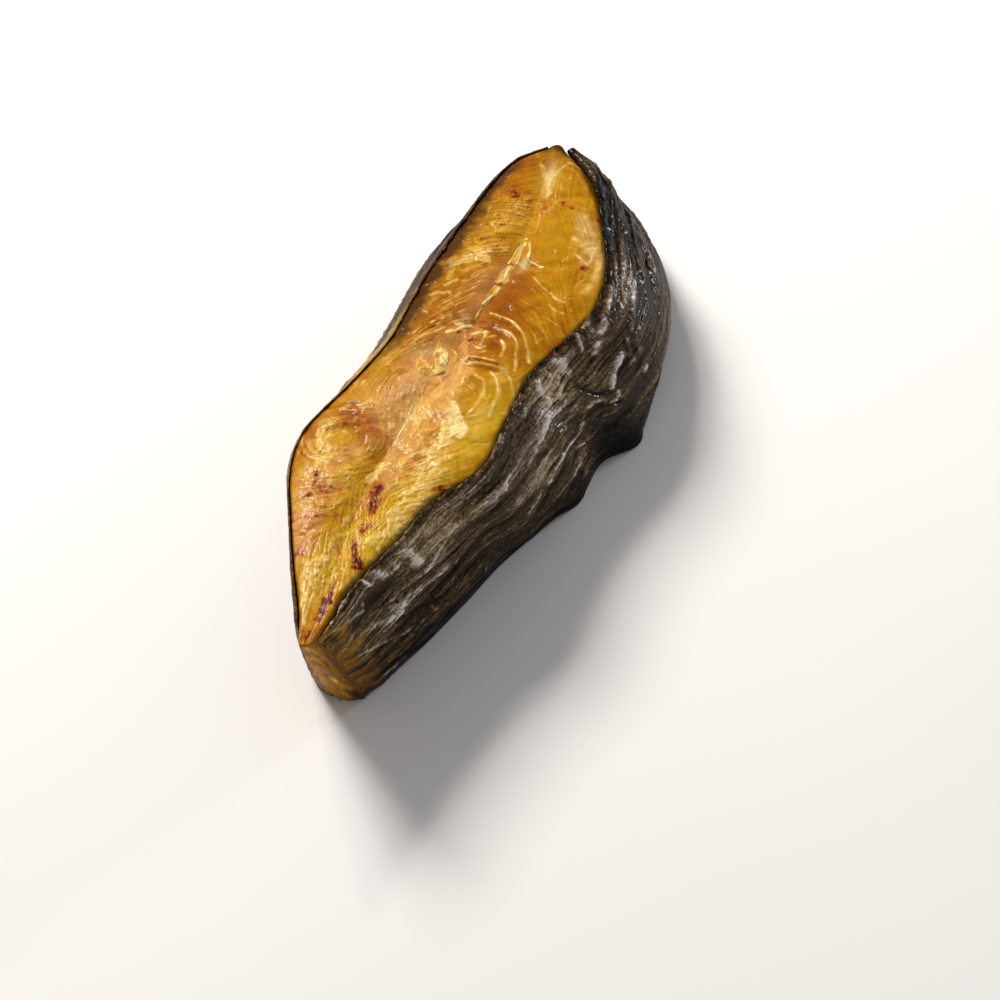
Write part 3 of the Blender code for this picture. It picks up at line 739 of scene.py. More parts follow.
def face_layers(x, y):
    """The layers that the cut face is mixed from, at places in millimetres, each by its name."""
    warp_x, warp_y = [WARP * noise(x / WARP_PITCH, y / WARP_PITCH, seed) for seed in (23, 24)]
    face = SimpleNamespace(
        long_fibres=fibres(x, y, 1.0, 9, 3), short_fibres=fibres(x, y, 0.6, 3, 7),
        fat=lines(x, y, FAT_LINES), gaps=lines(x, y, DARK_LINES),
        pale=lines(x, y, PALE_FIBRES), dark=lines(x, y, DARK_FIBRES),
        flakes=torn_flakes(x, y, FLAKES),
        film=torn_flakes(x + FILM_WARP * warp_x, y + FILM_WARP * warp_y, MEMBRANES),
        blood=patches(x, y, BLOOD_PATCHES, 0.22, 75, 2.2), near=smooth_step(*NEAR_PART, x),
    )
    for name, drawn, raggedness, seed in PATCH_LAYERS:
        setattr(face, name, np.clip(patches(x, y, drawn, raggedness, seed), 0, 1))
    for name, length, width, seed, count in WARPED_LAYERS:
        setattr(face, name, rough_noise((x + warp_x) / length, (y + warp_y) / width, seed, count))
    for name, length, width, seed, count in STRAIGHT_LAYERS:
        setattr(face, name, rough_noise(x / length, y / width, seed, count))
    face.crags = 1 - 2 * np.abs(face.crags)
    covered = np.clip(weigh(face, fat=1, flakes=1, film=0.6), 0, 1)
    face.plain = (1 - 0.85 * face.smooth) * (1 - 0.7 * covered)
    lifted = weigh(face, scraps=1, cream=0.9, torn=0.3, short_fibres=0.25)
    face.lifted = smooth_step(0.65, 0.90, lifted)
    return face


# %% [markdown]
# The relief and each mask are mixed from the layers by weights. The weights were found by trial,
# by comparing renders of the face with the real one.

# %% Fine relief and masks of the cut face
def fine_relief(face):
    """The fine relief in millimetres."""
    relief = face.plain * weigh(face, short_fibres=0.05, long_fibres=0.07)
    relief += face.torn * weigh(face, short_fibres=0.08, crags=0.08, pits=0.09)
    relief += weigh(face, pale=0.12, dark=-0.14, film=0.12, fat=0.16, gaps=-0.40)
    relief += 0.14 * np.clip(face.flakes, 0, 1) + 0.10 * face.lifted * (1 + face.pits)
    relief += (0.10 + 0.05 * face.torn) * face.scraps * (1 - 0.8 * face.smooth)
    return relief - 0.15 * np.clip(face.blood, 0, 1)


def cream_mask(face):
    """Where the flesh is cream: fat, pale fibres, torn flakes, lifted scraps, veils and rims, partly its own
    colour and partly painted highlight on the wet crags.
    """
    wash = face.cream * (0.50 + weigh(face, long_fibres=0.45, short_fibres=0.30, scraps=0.20))
    # The pale veil on the near part, partly cream wisps and partly painted highlight.
    veil = smooth_step(0.0, 0.75, weigh(face, cloud=1, blotch=-0.4))
    veil *= np.maximum(face.near, 0.45 * face.torn)
    lifted = face.lifted * (0.30 + 0.4 * np.clip(weigh(face, cream=1, torn=0.5), 0, 1))
    film_rim = 4 * face.film * (1 - face.film)
    return np.maximum.reduce([
        face.fat,
        0.95 * face.pale * (1 - 0.5 * face.smooth),
        0.75 * np.clip(wash, 0, 1),
        face.flakes * (0.80 + weigh(face, pits=0.20, short_fibres=0.25)),
        lifted * (0.85 + weigh(face, pits=0.3, long_fibres=0.4)),
        0.68 * veil * (0.55 + weigh(face, short_fibres=0.40, long_fibres=0.30)),
        film_rim * np.clip(0.35 + weigh(face, scraps=0.6, short_fibres=0.3), 0, 1),
    ])


def face_masks(x, y, face):
    """The masks of the cut face, by the names that the material reads."""
    # The crests of fibres and crags are painted more golden, as painted highlight, and the dark fibres' gaps
    # less golden, as painted shade.
    crest = face.plain * weigh(face, short_fibres=0.30, long_fibres=0.35)
    crest += face.torn * weigh(face, crags=0.40, scraps=0.30, pits=0.25)
    gold = mix(*BASE_GOLD, smooth_step(-3, 3, y)) + patches(x, y, GOLD_PATCHES, PATCH_RAGGED, 77)
    gold += 0.38 * crest - 0.30 * face.dark + 0.10 * (1 - face.smooth) * face.scraps
    rust = np.maximum(face.torn, 0.7 * face.rose) * (1 - 0.8 * face.film)
    rust *= smooth_step(-0.05, 0.65, weigh(face, blotch=1, cream=-0.4))
    rose = face.rose * (0.85 - 0.35 * crest + 0.3 * face.scraps) + 0.30 * rust
    film = face.film * (0.95 + weigh(face, scraps=0.35, pits=0.2))
    stain = face.blood * (0.85 + weigh(face, pits=0.35, short_fibres=0.35, crags=0.25))
    # The blood mask holds the stains of blood, and also the gaps painted dark as painted shade.
    blood = 1.05 * smooth_step(0.05, 1.5, stain) + 0.7 * face.gaps
    return {
        "gold": gold,
        "cream": cream_mask(face),
        "rose": np.clip(np.maximum(rose, film), 0, 1),
        "blood": np.clip(blood + 0.34 * rust * (0.8 + 0.5 * face.pits), 0, 1),
        "pearl": face.pearl * np.clip(0.75 + weigh(face, scraps=0.4, short_fibres=0.3), 0, 1),
        "rough": np.clip(0.15 + weigh(face, torn=0.85, smooth=-0.5, cream=0.3), 0.05, 1),
    }


def cut_face(x, y):
    """The fine relief in millimetres and the masks, at places of the cut face in millimetres."""
    face = face_layers(x, y)
    return fine_relief(face), face_masks(x, y, face)


# %% [markdown]
# Every main piece is a box whose faces are cut into a fine grid and then bent to the steak. A box
# closes itself, and its corners become the edges where the cut face meets the walls. The operator
# cuts the box while it is still plain, and the points move afterwards.

# %% A grid box and what finishes it
# An edge whose direction has this share along an axis runs along it.
ALIGNED = 0.99


def block(counts):
    """A unit box whose faces are cut into this many quads along X, Y and Z."""
    bm = bmesh.new()
    bmesh.ops.create_cube(bm, size=1)
    for axis, count in enumerate(counts):
        edges = [
            edge for edge in bm.edges
            if abs((edge.verts[1].co - edge.verts[0].co).normalized()[axis]) > ALIGNED
        ]
        if count > 1:
            bmesh.ops.subdivide_edges(bm, edges=edges, cuts=count - 1, use_grid_fill=True)
    bmesh.ops.translate(bm, vec=(0.5, 0.5, 0.5), verts=bm.verts)
    return bm


def places_of(mesh):
    """The mesh's points as an array with a row each."""
    places = np.empty(len(mesh.vertices) * 3)
    mesh.vertices.foreach_get("co", places)
    return places.reshape(-1, 3)


def bend(mesh, points):
    """Moves the mesh's points to these places, given before the shift into the frame."""
    mesh.vertices.foreach_set("co", (points + SHIFT).ravel())
    mesh.update()


def to_mesh(bm, name):
    """Turns a bmesh whose faces point outward into a smooth mesh."""
    bmesh.ops.recalc_face_normals(bm, faces=bm.faces)
    mesh = bpy.data.meshes.new(name)
    bm.to_mesh(mesh)
    bm.free()
    mesh.shade_smooth()
    return mesh


def paint(mesh, masks):
    """Stores each mask on the mesh's points, for the material to read by its name."""
    for name, values in masks.items():
        layer = mesh.attributes.new(name, "FLOAT", "POINT")
        layer.data.foreach_set("value", np.asarray(values, np.float32))


def place_piece(mesh, node):
    """Makes an object of the mesh, which rides on the steak and stands for a node of the solid."""
    piece = bpy.data.objects.new(mesh.name, mesh)
    bpy.context.scene.collection.objects.link(piece)
    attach(piece, "root")
    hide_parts(node)
    mesh.calc_loop_triangles()
    print(piece.name, "has", len(mesh.loop_triangles), "triangles")
    return piece


# %% [markdown]
# The flesh is one body, cut on top and below, and bare at the two fin edges, where it dried into a
# brown rim. The grid is about 0.4 mm on the cut face, the size of the finest fibre that shows. The
# base lies on the table, so its grid is dissolved into one flat face.

# %% Flesh
FLESH_FACES = (536, 152, 8)
END_CUTS = 2
# The bare fin edges are dented: how deep, then for each noise the length of its lumps up the edge
# in millimetres, how many lie across half of it, its share and its seed.
END_ROUGH = 0.45 * MM
END_DENTS = ((6.0, 8 / 3, 1.0, 83), (1.6, 20 / 3, 0.5, 84))
# The share of the height over which the cut face's relief fades down the walls.
RELIEF_FADE = 0.12
# The share of the fine relief that stays where broad relief isn't allowed.
LEAST_RELIEF = 0.35
# A point this close to a side of the unit box lies on it.
ON_SIDE = 1e-4


def make_flesh():
    """The flesh: a grid box, bent, with its relief and its masks."""
    bm = block(FLESH_FACES)
    ends = [
        edge for edge in bm.edges
        if all(abs(v.co.x - 0.5) > 0.5 - ON_SIDE for v in edge.verts)
        and abs(edge.verts[0].co.z - edge.verts[1].co.z) > ON_SIDE
    ]
    bmesh.ops.subdivide_edges(bm, edges=ends, cuts=END_CUTS, use_grid_fill=True)
    base = [face for face in bm.faces if max(v.co.z for v in face.verts) < ON_SIDE]
    bmesh.ops.dissolve_faces(bm, faces=base)
    mesh = to_mesh(bm, "smoked_flesh")
    s, across, w = places_of(mesh).T
    t = 2 * across - 1
    flat = steak_points(s, t, 1 + 0 * s)
    at_end = (s > 1 - ON_SIDE).astype(float) - (s < ON_SIDE)
    # The pattern of the cut face runs on down the fin edges, as if they were folded up.
    unfolded = flat[:, 0] + at_end * (1 - w) * HEIGHT
    relief, masks = cut_face(unfolded / MM, flat[:, 1] / MM)
    relief = broad_relief(s, t) + relief * MM * np.maximum(level_at(s, flat), LEAST_RELIEF)
    on_top = np.clip(1 - (1 - w) / RELIEF_FADE, 0, 1)
    points = steak_points(s, t, w + on_top * relief / HEIGHT)
    dents = sum(
        share * rough_noise(w * HEIGHT / MM / length, t * number, seed)
        for length, number, share, seed in END_DENTS
    )
    points[:, 0] += at_end * END_ROUGH * dents * smooth_step(1.0, 0.9, w)
    masks["dry_and_shade"] = dry_and_shade_share(s, t, w)
    masks["rose"] *= smooth_step(0, 0.02, s)
    masks["cream"] *= mix(1, 0.3, smooth_step(0.999, 1.0, s))
    bend(mesh, points)
    paint(mesh, masks)
    return place_piece(mesh, "flesh")


def dry_and_shade_share(s, t, w):
    """How dark the flesh's rim is: dried by the smoke at the fin edges, and by the skin partly dried and
    partly the painted shadow of the skin's lip.
    """
    half_width = by_side(t, TOP_EDGES, s) / MM
    uneven = 0.5 * rough_noise(s * TOP_LENGTH / MM / 5, t * half_width / 4 + 9 * w, 81, 4)
    from_skin = (1 - np.abs(t)) * half_width
    # By the skin the dark rim is partly dried flesh and partly painted shadow of the skin's lip.
    by_skin = 0.7 * smooth_step(0.9, 0.1, from_skin + 0.7 * uneven)
    # The rim is broader along the far half of the left side.
    far_left = (t > 0) * smooth_step(0.40, 0.56, s) * smooth_step(1.0, 0.93, s)
    broad_rim = 0.78 * smooth_step(4.0, 0.9, from_skin + 2.8 * uneven)
    broad_rim += 0.20 * smooth_step(8.0, 2.0, from_skin + 7 * uneven)
    far_end = 0.9 * smooth_step(0.978, 1.0, s + 0.012 * uneven)
    far_end += 0.22 * smooth_step(0.90, 0.98, s + 0.02 * uneven)
    # Below the cut face only the bare fin edges show. They are mottled, and darker at their sides
    # and foot.
    mottle = 0.8 * rough_noise(w * HEIGHT / MM / 5, t * 5 / 3, 86, 4)
    bare = 0.06 + mottle + 0.5 * smooth_step(0.22, 0.0, w)
    bare += 0.7 * smooth_step(0.35, 0.95, t + 0.3 * mottle)
    bare += 0.3 * smooth_step(0.0, -0.9, t + 0.3 * mottle)
    bare *= smooth_step(1.0, 0.97, w)
    rims = np.maximum.reduce([far_left * broad_rim, by_skin, far_end, bare])
    return np.clip(rims + 0.10 * uneven, 0, 1)


flesh = make_flesh()

# %% [markdown]
# The skin dried into a dark leathery sheet. Broad soft bands run along the fish, with wrinkles and
# a crackled grain over them. The folds that catch the eye are drawn one by one as paths, like the
# fat lines of the flesh: crests are painted pale, as painted highlights where light glints on the
# oil, and hollows near black, as painted shade.

# %% Skin relief
SKIN_GAP = 0.25 * MM
SKIN_THICKNESS = 1.3 * MM
SKIN_CLEARANCE = 0.8 * MM
# The shares of the steak's length between which the skin lies.
SKIN_START = 0.003
SKIN_END = 1.0
# Places on the skin are millimetres along and up the wall, which is this long and wide.
WALL_LENGTH = 210
WALL_WIDTH = 50
# The lateral line crosses the wall as a low swell: its place and half width as shares of the
# steak's length, how far it bends, and its rise in millimetres.
LATERAL_LINE = 0.46
LATERAL_WIDTH = 0.03
LATERAL_BEND = 0.03
LATERAL_RISE = 1.1
# Noise on the skin: its length and width in millimetres, its rise, and how much paler its crests are painted,
# as painted highlight.
BANDS = (34, 5.0, 0.50, 0.24)
WRINKLES = (13, 2.0, 0.22, 0.14)
CRACKLE = (1.5, 1.1, 0.10, 0.15)
STREAKS = (38, 1.3, 0.12, 0.20)
# Crests of the right skin, painted pale as painted highlights where light glints on them: path along and up
# the wall in millimetres, half width, strength.
RIGHT_CRESTS_AND_HIGHLIGHTS = (
    (((199, 33), (196, 30), (192.5, 27.5), (188, 27), (183, 27.5), (178, 28.5)), 0.8, 0.8),
    (((186, 33), (181, 33.8), (176.5, 34), (174, 32.2), (171.3, 30.8), (167.2, 30), (164.3, 29.2)), 1.3, 1.1),
    (((172.5, 39), (167.2, 38.8), (163, 37.8)), 0.8, 0.6),
    (((185, 43), (180.5, 42.8), (174.8, 43.2), (168.8, 44.2), (164.3, 44.2), (158, 44.8)), 0.6, 0.55),
    (((172.8, 47.2), (167, 47.8), (161.8, 47.8), (155.8, 47.8)), 0.5, 0.45),
    (((184.3, 46), (179.5, 46.2), (176, 46.5)), 0.4, 0.4),
    (((205, 46.5), (203.8, 43.8), (202.8, 40.8)), 0.7, 0.4),
    (((190.3, 48.5), (187.5, 47)), 0.5, 0.5),
    (((148.8, 48), (145, 46.8), (138, 46.2), (134.5, 45.2), (131.5, 44), (127.5, 43), (123.5, 41)),
     1.1, 1.15),
    (((151.3, 44.8), (148.2, 43.8), (145.5, 42.5)), 0.5, 0.6),
    (((157.5, 40.5), (153.5, 40.2), (149, 40.2), (145, 38.8), (141, 38.5), (137.8, 36.5)), 0.9, 0.9),
    (((149, 29), (144, 28.3), (140, 27.3), (136.8, 26.5)), 0.5, 0.55),
    (((134, 29.5), (130.8, 29.2), (127, 29)), 1, 0.9),
    (((130, 23.5), (127.8, 22.5)), 0.8, 1.2),
    (((126.8, 34.2), (123, 32.8), (119.5, 30.8), (116.5, 28.3)), 1.0, 1.8),
    (((198, 42), (190, 44.5), (181.5, 45.5), (173.5, 45.2), (166.5, 44.8), (160, 44)), 0.35, 0.7),
    (((198.5, 34), (190, 35.5), (182.5, 37.2), (174.8, 38), (168.5, 38)), 0.35, 0.7),
    (((182.8, 42.2), (176.5, 41.9), (170.3, 42), (162.8, 42.3), (155, 41.8)), 0.3, 0.6),
    (((184, 48.2), (175.2, 48.8), (166.8, 49.2), (160, 49)), 0.3, 0.6),
    (((166, 38), (160.8, 36.5), (155.5, 34.8), (150, 33.2)), 0.45, 0.75),
    (((171, 34.2), (166.3, 32), (161, 30), (157.3, 27.3)), 0.5, 0.7),
    (((165.3, 42.8), (160, 41.5), (155.2, 40.5)), 0.35, 0.6),
    (((164.8, 47.8), (159.5, 47), (153.8, 46.2)), 0.35, 0.7),
    (((133.5, 35.8), (132.3, 34.8)), 0.7, 0.9),
    (((135, 49.6), (134.2, 49.2), (131.8, 48.2), (129.8, 46.5)), 1.2, 0.8),
    (((126, 48.5), (123.8, 46.2), (121.8, 43.8)), 0.6, 1),
    (((125.5, 49.6), (127.8, 49.5), (127.8, 47.8)), 0.5, 0.6),
    (((130, 48.5), (127.5, 45.8)), 0.4, 0.6),
    (((116.8, 49.6), (117.2, 49), (116.2, 47.2), (115.5, 46)), 0.6, 0.7),
    (((114.5, 46), (113.8, 44.2), (112.5, 42.2)), 1.3, 1.2),
    (((109, 47), (108.5, 45)), 0.7, 0.7),
    (((109.3, 42.2), (107.3, 40.5), (104.8, 38.8)), 1, 0.9),
    (((103.8, 46.2), (101.3, 43.8), (101, 41.2), (99, 39.2), (96.3, 38), (93, 37.5), (90.8, 37)), 1.2, 0.9),
    (((116.5, 25.2), (114.5, 23.5), (112.5, 24.5), (111, 26.8), (109.3, 28.5), (106.3, 28.5), (102.8, 26.8),
      (99.3, 24.5), (95.8, 23.5), (89, 23.8), (81.2, 23.2), (77.2, 23), (71.8, 22.5), (66.5, 20.2)), 0.9, 1),
    (((111.2, 19.8), (109, 21), (107.3, 22.2)), 0.7, 0.8),
    (((105.5, 20.5), (102.8, 20), (100.5, 19), (97.2, 18.5), (94, 18.8)), 0.8, 1),
    (((95.3, 13.2), (91.5, 13), (88, 13.8), (84.8, 13.5)), 0.5, 0.7),
    (((105.2, 32.2), (102.3, 31.8), (99, 30.8), (95.8, 29.5)), 0.8, 0.4),
    (((89.5, 36.2), (85.3, 36), (81.5, 35.5), (77.2, 35.2)), 0.9, 0.55),
    (((92.5, 45.8), (88.5, 44.2), (84.2, 43.8)), 0.6, 0.45),
    (((84.2, 46.2), (82.3, 44.5), (79.8, 44)), 0.9, 0.6),
    (((80.8, 49.2), (78.2, 47.8), (74.8, 48)), 0.6, 0.4),
    (((67.5, 40), (66.5, 37.5)), 0.6, 1),
    (((85.8, 30.2), (80.2, 30.5), (75, 31), (69.8, 31), (65, 30)), 0.7, 0.4),
    (((83.5, 20.8), (77.8, 20.5), (71.8, 19.8), (66, 18.2), (61.3, 16.5)), 0.5, 0.4),
    (((50, 37.8), (47, 37), (43.5, 35.8), (40, 34.8), (37, 33.8), (34.5, 33.2)), 0.6, 0.8),
    (((35.8, 44), (35.5, 40.8), (35.2, 37.5)), 1.5, 1.1),
    (((25.5, 47.2), (26.5, 44.8), (27.8, 43), (30.5, 43.5)), 1.4, 1.1),
    (((21.8, 49.2), (21.5, 46.2), (22.8, 45.2)), 0.6, 1),
    (((33.3, 47.5), (35, 46.5), (36.3, 45)), 0.4, 0.8),
    (((16.5, 49.6), (21.5, 49.6), (24.2, 49.6)), 0.5, 0.5),
    (((11.5, 49.6), (8.3, 49.2), (5.8, 49), (3.2, 49.5)), 0.5, 1.2),
    (((16.5, 42.8), (14.8, 41), (12.3, 42.5), (9.5, 43.8), (7, 44.8), (5, 47)), 0.7, 1),
    (((7.5, 38.2), (5.5, 36.5), (3.5, 35.2)), 0.9, 0.9),
    (((39, 28), (36.3, 27.8), (33.3, 28), (29.5, 29), (26, 31.2), (22.8, 34.2)), 1.2, 0.55),
    (((25.3, 28), (22, 30.8), (18.3, 34.5), (15.5, 37)), 1.2, 0.45),
    (((22, 26), (17.8, 28.5), (14.3, 31.8), (10.5, 35), (6.8, 36)), 1.3, 0.55),
    (((25, 14.3), (21, 15.8), (16.8, 18.2), (12.8, 21.5), (9.2, 24.5), (5, 27.8)), 0.5, 0.8),
    (((28.8, 17.8), (29, 13.8)), 0.4, 0.8),
    (((48.8, 12.2), (47.3, 9.5), (46, 6.8)), 0.4, 0.8),
    (((14.3, 5.5), (11.2, 6.2), (8.3, 6.2), (6.8, 7.2)), 0.6, 1),
    (((63, 36.5), (58.5, 33.5), (54, 31.8), (49, 31.5)), 1, 0.35),
    (((66.8, 28.8), (61.3, 26.2), (56.8, 24.2), (51.3, 23)), 1, 0.35),
)
# Hollows, in the same way, painted dark as painted shade.
RIGHT_SHADED_HOLLOWS = (
    (((104.5, 19.8), (104.8, 13), (106, 6.2), (108, 0)), 4, 1),
    (((130.5, 34), (132.8, 34.2), (131.8, 31.5)), 1.2, 1.2),
    (((120.8, 29.8), (124.5, 30.8), (128.2, 31.5)), 0.8, 0.9),
    (((110.2, 36.5), (111, 32.5), (112.3, 29.2), (114.8, 28.3)), 0.8, 0.9),
    (((108.5, 25.5), (111.8, 23), (114.3, 21)), 0.7, 0.9),
    (((86, 19.2), (80, 19.2), (74.5, 18.5), (69.3, 17.2)), 1.3, 0.7),
    (((86.3, 8.8), (79.5, 8.2), (73.5, 7.2)), 2.2, 0.9),
    (((46, 0), (38, 0), (30, 0.2), (21, 3), (13, 6.5), (5.5, 8.5)), 1.5, 0.9),
    (((32.2, 16.2), (27.5, 19.8), (23.3, 22.5), (19.5, 24)), 0.9, 0.7),
    (((44, 24.5), (37, 22.8), (31.3, 22.5)), 0.9, 0.6),
    (((200.2, 33.5), (194, 36.2), (187, 37), (179.3, 38), (174.5, 37.2)), 1, 0.8),
    (((202.8, 41.5), (194, 47), (186, 48.3), (178, 48.2), (168.2, 49), (152, 49.5)), 2, 1),
    (((173.2, 45.5), (162.8, 46.2), (154.8, 46)), 0.9, 0.7),
    (((177.5, 40.8), (169.2, 41.5), (163.3, 40.8), (157.3, 39.5)), 1.1, 0.8),
    (((170.8, 34.8), (164.5, 33.2), (159, 32)), 0.8, 0.7),
    (((76.3, 9.5), (69, 6.2), (63, 1.8), (57.5, 2.2)), 2, 0.8),
    (((59.8, 40.2), (55, 38.2), (50.8, 38.8)), 0.8, 0.5),
    (((152, 49.4), (142, 49.6), (128, 49.6), (118, 49.2), (106, 49.2), (94, 49.0), (82, 49.4)), 1.1, 0.9),
    (((70, 49.8), (52, 49.8), (36, 49.9), (24, 49.9)), 0.6, 0.7),
)
# Crests and hollows of the left skin, painted pale and dark in the same way, as painted highlight and painted
# shade.
LEFT_CRESTS_AND_HIGHLIGHTS = (
    (((190, 30), (150, 34), (110, 31), (60, 34)), 0.8, 0.8),
    (((180, 18), (120, 21), (70, 17), (30, 20)), 0.8, 0.8),
)
LEFT_SHADED_HOLLOWS = ((((200, 24), (150, 27), (90, 25), (30, 27)), 1.2, 0.8),)
# Lighter and darker patches of the skin, as patches of the flesh. The dark patches along the foot and under
# the flap near 104 mm along the wall are painted shade.
RIGHT_TONES_AND_SHADE = (
    (45, 41, 15, 6, 0, 0.95), (14, 40, 10, 8, 0, 0.10), (118, 42, 16, 7, 0, 0.45),
    (104, 41, 13, 6, 0, 0.55), (143, 38, 9, 10, 0, -0.35), (138, 26, 12, 8, 0, -0.15),
    (184, 38, 20, 22, 0, -1.05), (104, 10, 11, 9, 0, -0.9), (60, 4, 50, 6, 0, -0.70),
    (30, 18, 20, 6, 0, -0.25), (195, 20, 20, 14, 0, -0.2), (28, 36, 14, 9, 0, 0.05),
)
LEFT_SHADES = (
    (160, 44, 16, 9, 0, -0.5), (138, 46, 14, 6, 0, -0.25), (96, 47, 20, 5, 0, 0.9), (60, 47, 10, 5, 0, 0.3),
    (25, 46, 30, 6, 0, -0.4), (185, 40, 20, 14, 0, -0.7),
)
# Where a fold stands away from the wall: patches, with how far in millimetres.
RIGHT_FLAPS = ((107, 1, 4.5, 5, 0, 2.0), (80, 1, 4, 4, 0, 1.4), (201, 44, 13, 9, 0, 2.4))
LEFT_FLAPS = ((60, 50, 60, 22, 0, -0.7), (150, 50, 60, 14, 0, -0.5))
# The shade of the skin where nothing is drawn, from 0, near black, to 1, near white.
BASE_TONE = 0.40
# The step along and up the wall from which its slope is measured.
WALL_STEP = 0.004


def skin_relief(u, v, s, crests, hollows, shades, seed):
    """The relief of the skin in millimetres, and its masks. u runs along it and v up it, in mm."""
    bent = v + 2.4 * noise(u / 30, v / 16, seed) + 0.8 * noise(u / 10, v / 7, seed + 1)
    band = rough_noise(u / BANDS[0], bent / BANDS[1], seed + 2, 2)
    wrinkle, crackle, streak = [
        1 - 2.4 * np.abs(rough_noise(u / length, bent / width, seed + 3 + k, 2))
        for k, (length, width, _, _) in enumerate((WRINKLES, CRACKLE, STREAKS))
    ]
    strength = 0.7 + 0.5 * noise(u / 22, v / 12, seed + 5)
    crackled = mix(0.35, 1, smooth_step(-0.3, 0.5, noise(u / 17, v / 12, seed + 6)))
    broken = 0.90 + 0.30 * rough_noise(u / 2.4, v / 1.0, seed + 7, 2)
    crest, hollow = lines(u, v, crests) * broken, lines(u, v, hollows)
    shade = patches(u, v, shades, 0.6, seed + 9)
    line = s - LATERAL_LINE - LATERAL_BEND * np.sin(2 * np.pi * v / 48)
    swell = np.exp(-(line / LATERAL_WIDTH) ** 2) * np.sin(np.pi * np.clip(v / WALL_WIDTH, 0, 1))
    # Drawn crests and each noise's crests are painted paler, as painted highlight, and drawn hollows darker,
    # as painted shade; the lowest 10 mm of the wall is painted darker as shade at the foot.
    relief = 0.80 * crest - 0.60 * hollow + LATERAL_RISE * swell
    tone = BASE_TONE + 0.58 * crest - 0.50 * hollow + 0.40 * shade - 0.22 * smooth_step(10, 0, v)
    for (_, _, rise, paler), layer in (
        (BANDS, band), (WRINKLES, strength * wrinkle), (CRACKLE, crackled * crackle),
        (STREAKS, strength * streak),
    ):
        relief += rise * layer
        tone += paler * layer
    # Crests are kept out of the tan, so that they take the grey ramp's painted highlight.
    tan = smooth_step(-0.1, 0.6, noise(u / 20, v / 8, seed + 8) + shade)
    return relief, {"tone": tone, "tan": tan * (1 - np.clip(crest, 0, 1))}


def wall_frame(s, side, w):
    """Points on a wall, and the directions square to it."""
    t = side + 0 * s
    along = steak_points(s + WALL_STEP, t, w) - steak_points(s - WALL_STEP, t, w)
    up = steak_points(s, t, w + WALL_STEP) - steak_points(s, t, w - WALL_STEP)
    outward = np.cross(along, up) * -side
    outward /= np.linalg.norm(outward, axis=1, keepdims=True)
    return steak_points(s, t, w), outward


# %% [markdown]
# Each sheet is a thin box bent to its wall. A Solidify modifier could thicken a single face, but
# the real edges are worn: the sheet thins to nothing at the fin edge, and its top edge is ragged
# and tucked against the flesh. So the outer face's places are worked out with a thickness of their
# own. It is cut finer than the inner one, which lies hidden against the flesh.

# %% Skin sheets
RIGHT_SKIN_FACES = (66, 1, 18)
LEFT_SKIN_FACES = (50, 1, 12)
OUTER_CUTS = 7
# The share of the sheet's height over which its top edge is rounded.
LIP = 0.035
# How far the outer face's top edge lies below the cut face's plane, and the inner one's below it.
TOP_DROP = EDGE_DROP - 0.3 * MM
TUCK = 1.2 * MM
RAGGED_TOP = 0.55 * MM
# How steeply relief grows from the near, far, lower and upper edge of the sheet.
EDGE_GROWTH = (14, 40, 12, 25)
# The share of the thickness, and of the gap under it, that is left at the near fin edge.
NEAR_THIN = 0.1


def skin_thickness(along, up, s, v, relief, flaps, seed):
    """How thick the sheet is, with its relief, worn thin at its top and near edges."""
    sides = np.stack([along, 1 - along, up, 1 - up], -1)
    full = np.clip((sides * EDGE_GROWTH).min(-1), 0, 1)
    thickness = SKIN_THICKNESS + full * relief * MM
    thickness += patches(WALL_LENGTH * s, v, flaps, 0.2, seed + 14) * MM
    rounding = np.sqrt(np.clip(1 - (1 - np.clip((1 - up) / LIP, 0, 1)) ** 2, 0, 1))
    worn_thin = 0.25 + 0.20 * rough_noise(s * TOP_LENGTH / MM / 3, v / 2, seed + 16)
    return thickness * mix(worn_thin, 1, rounding) * mix(NEAR_THIN, 1, smooth_step(0, 0.025, along))


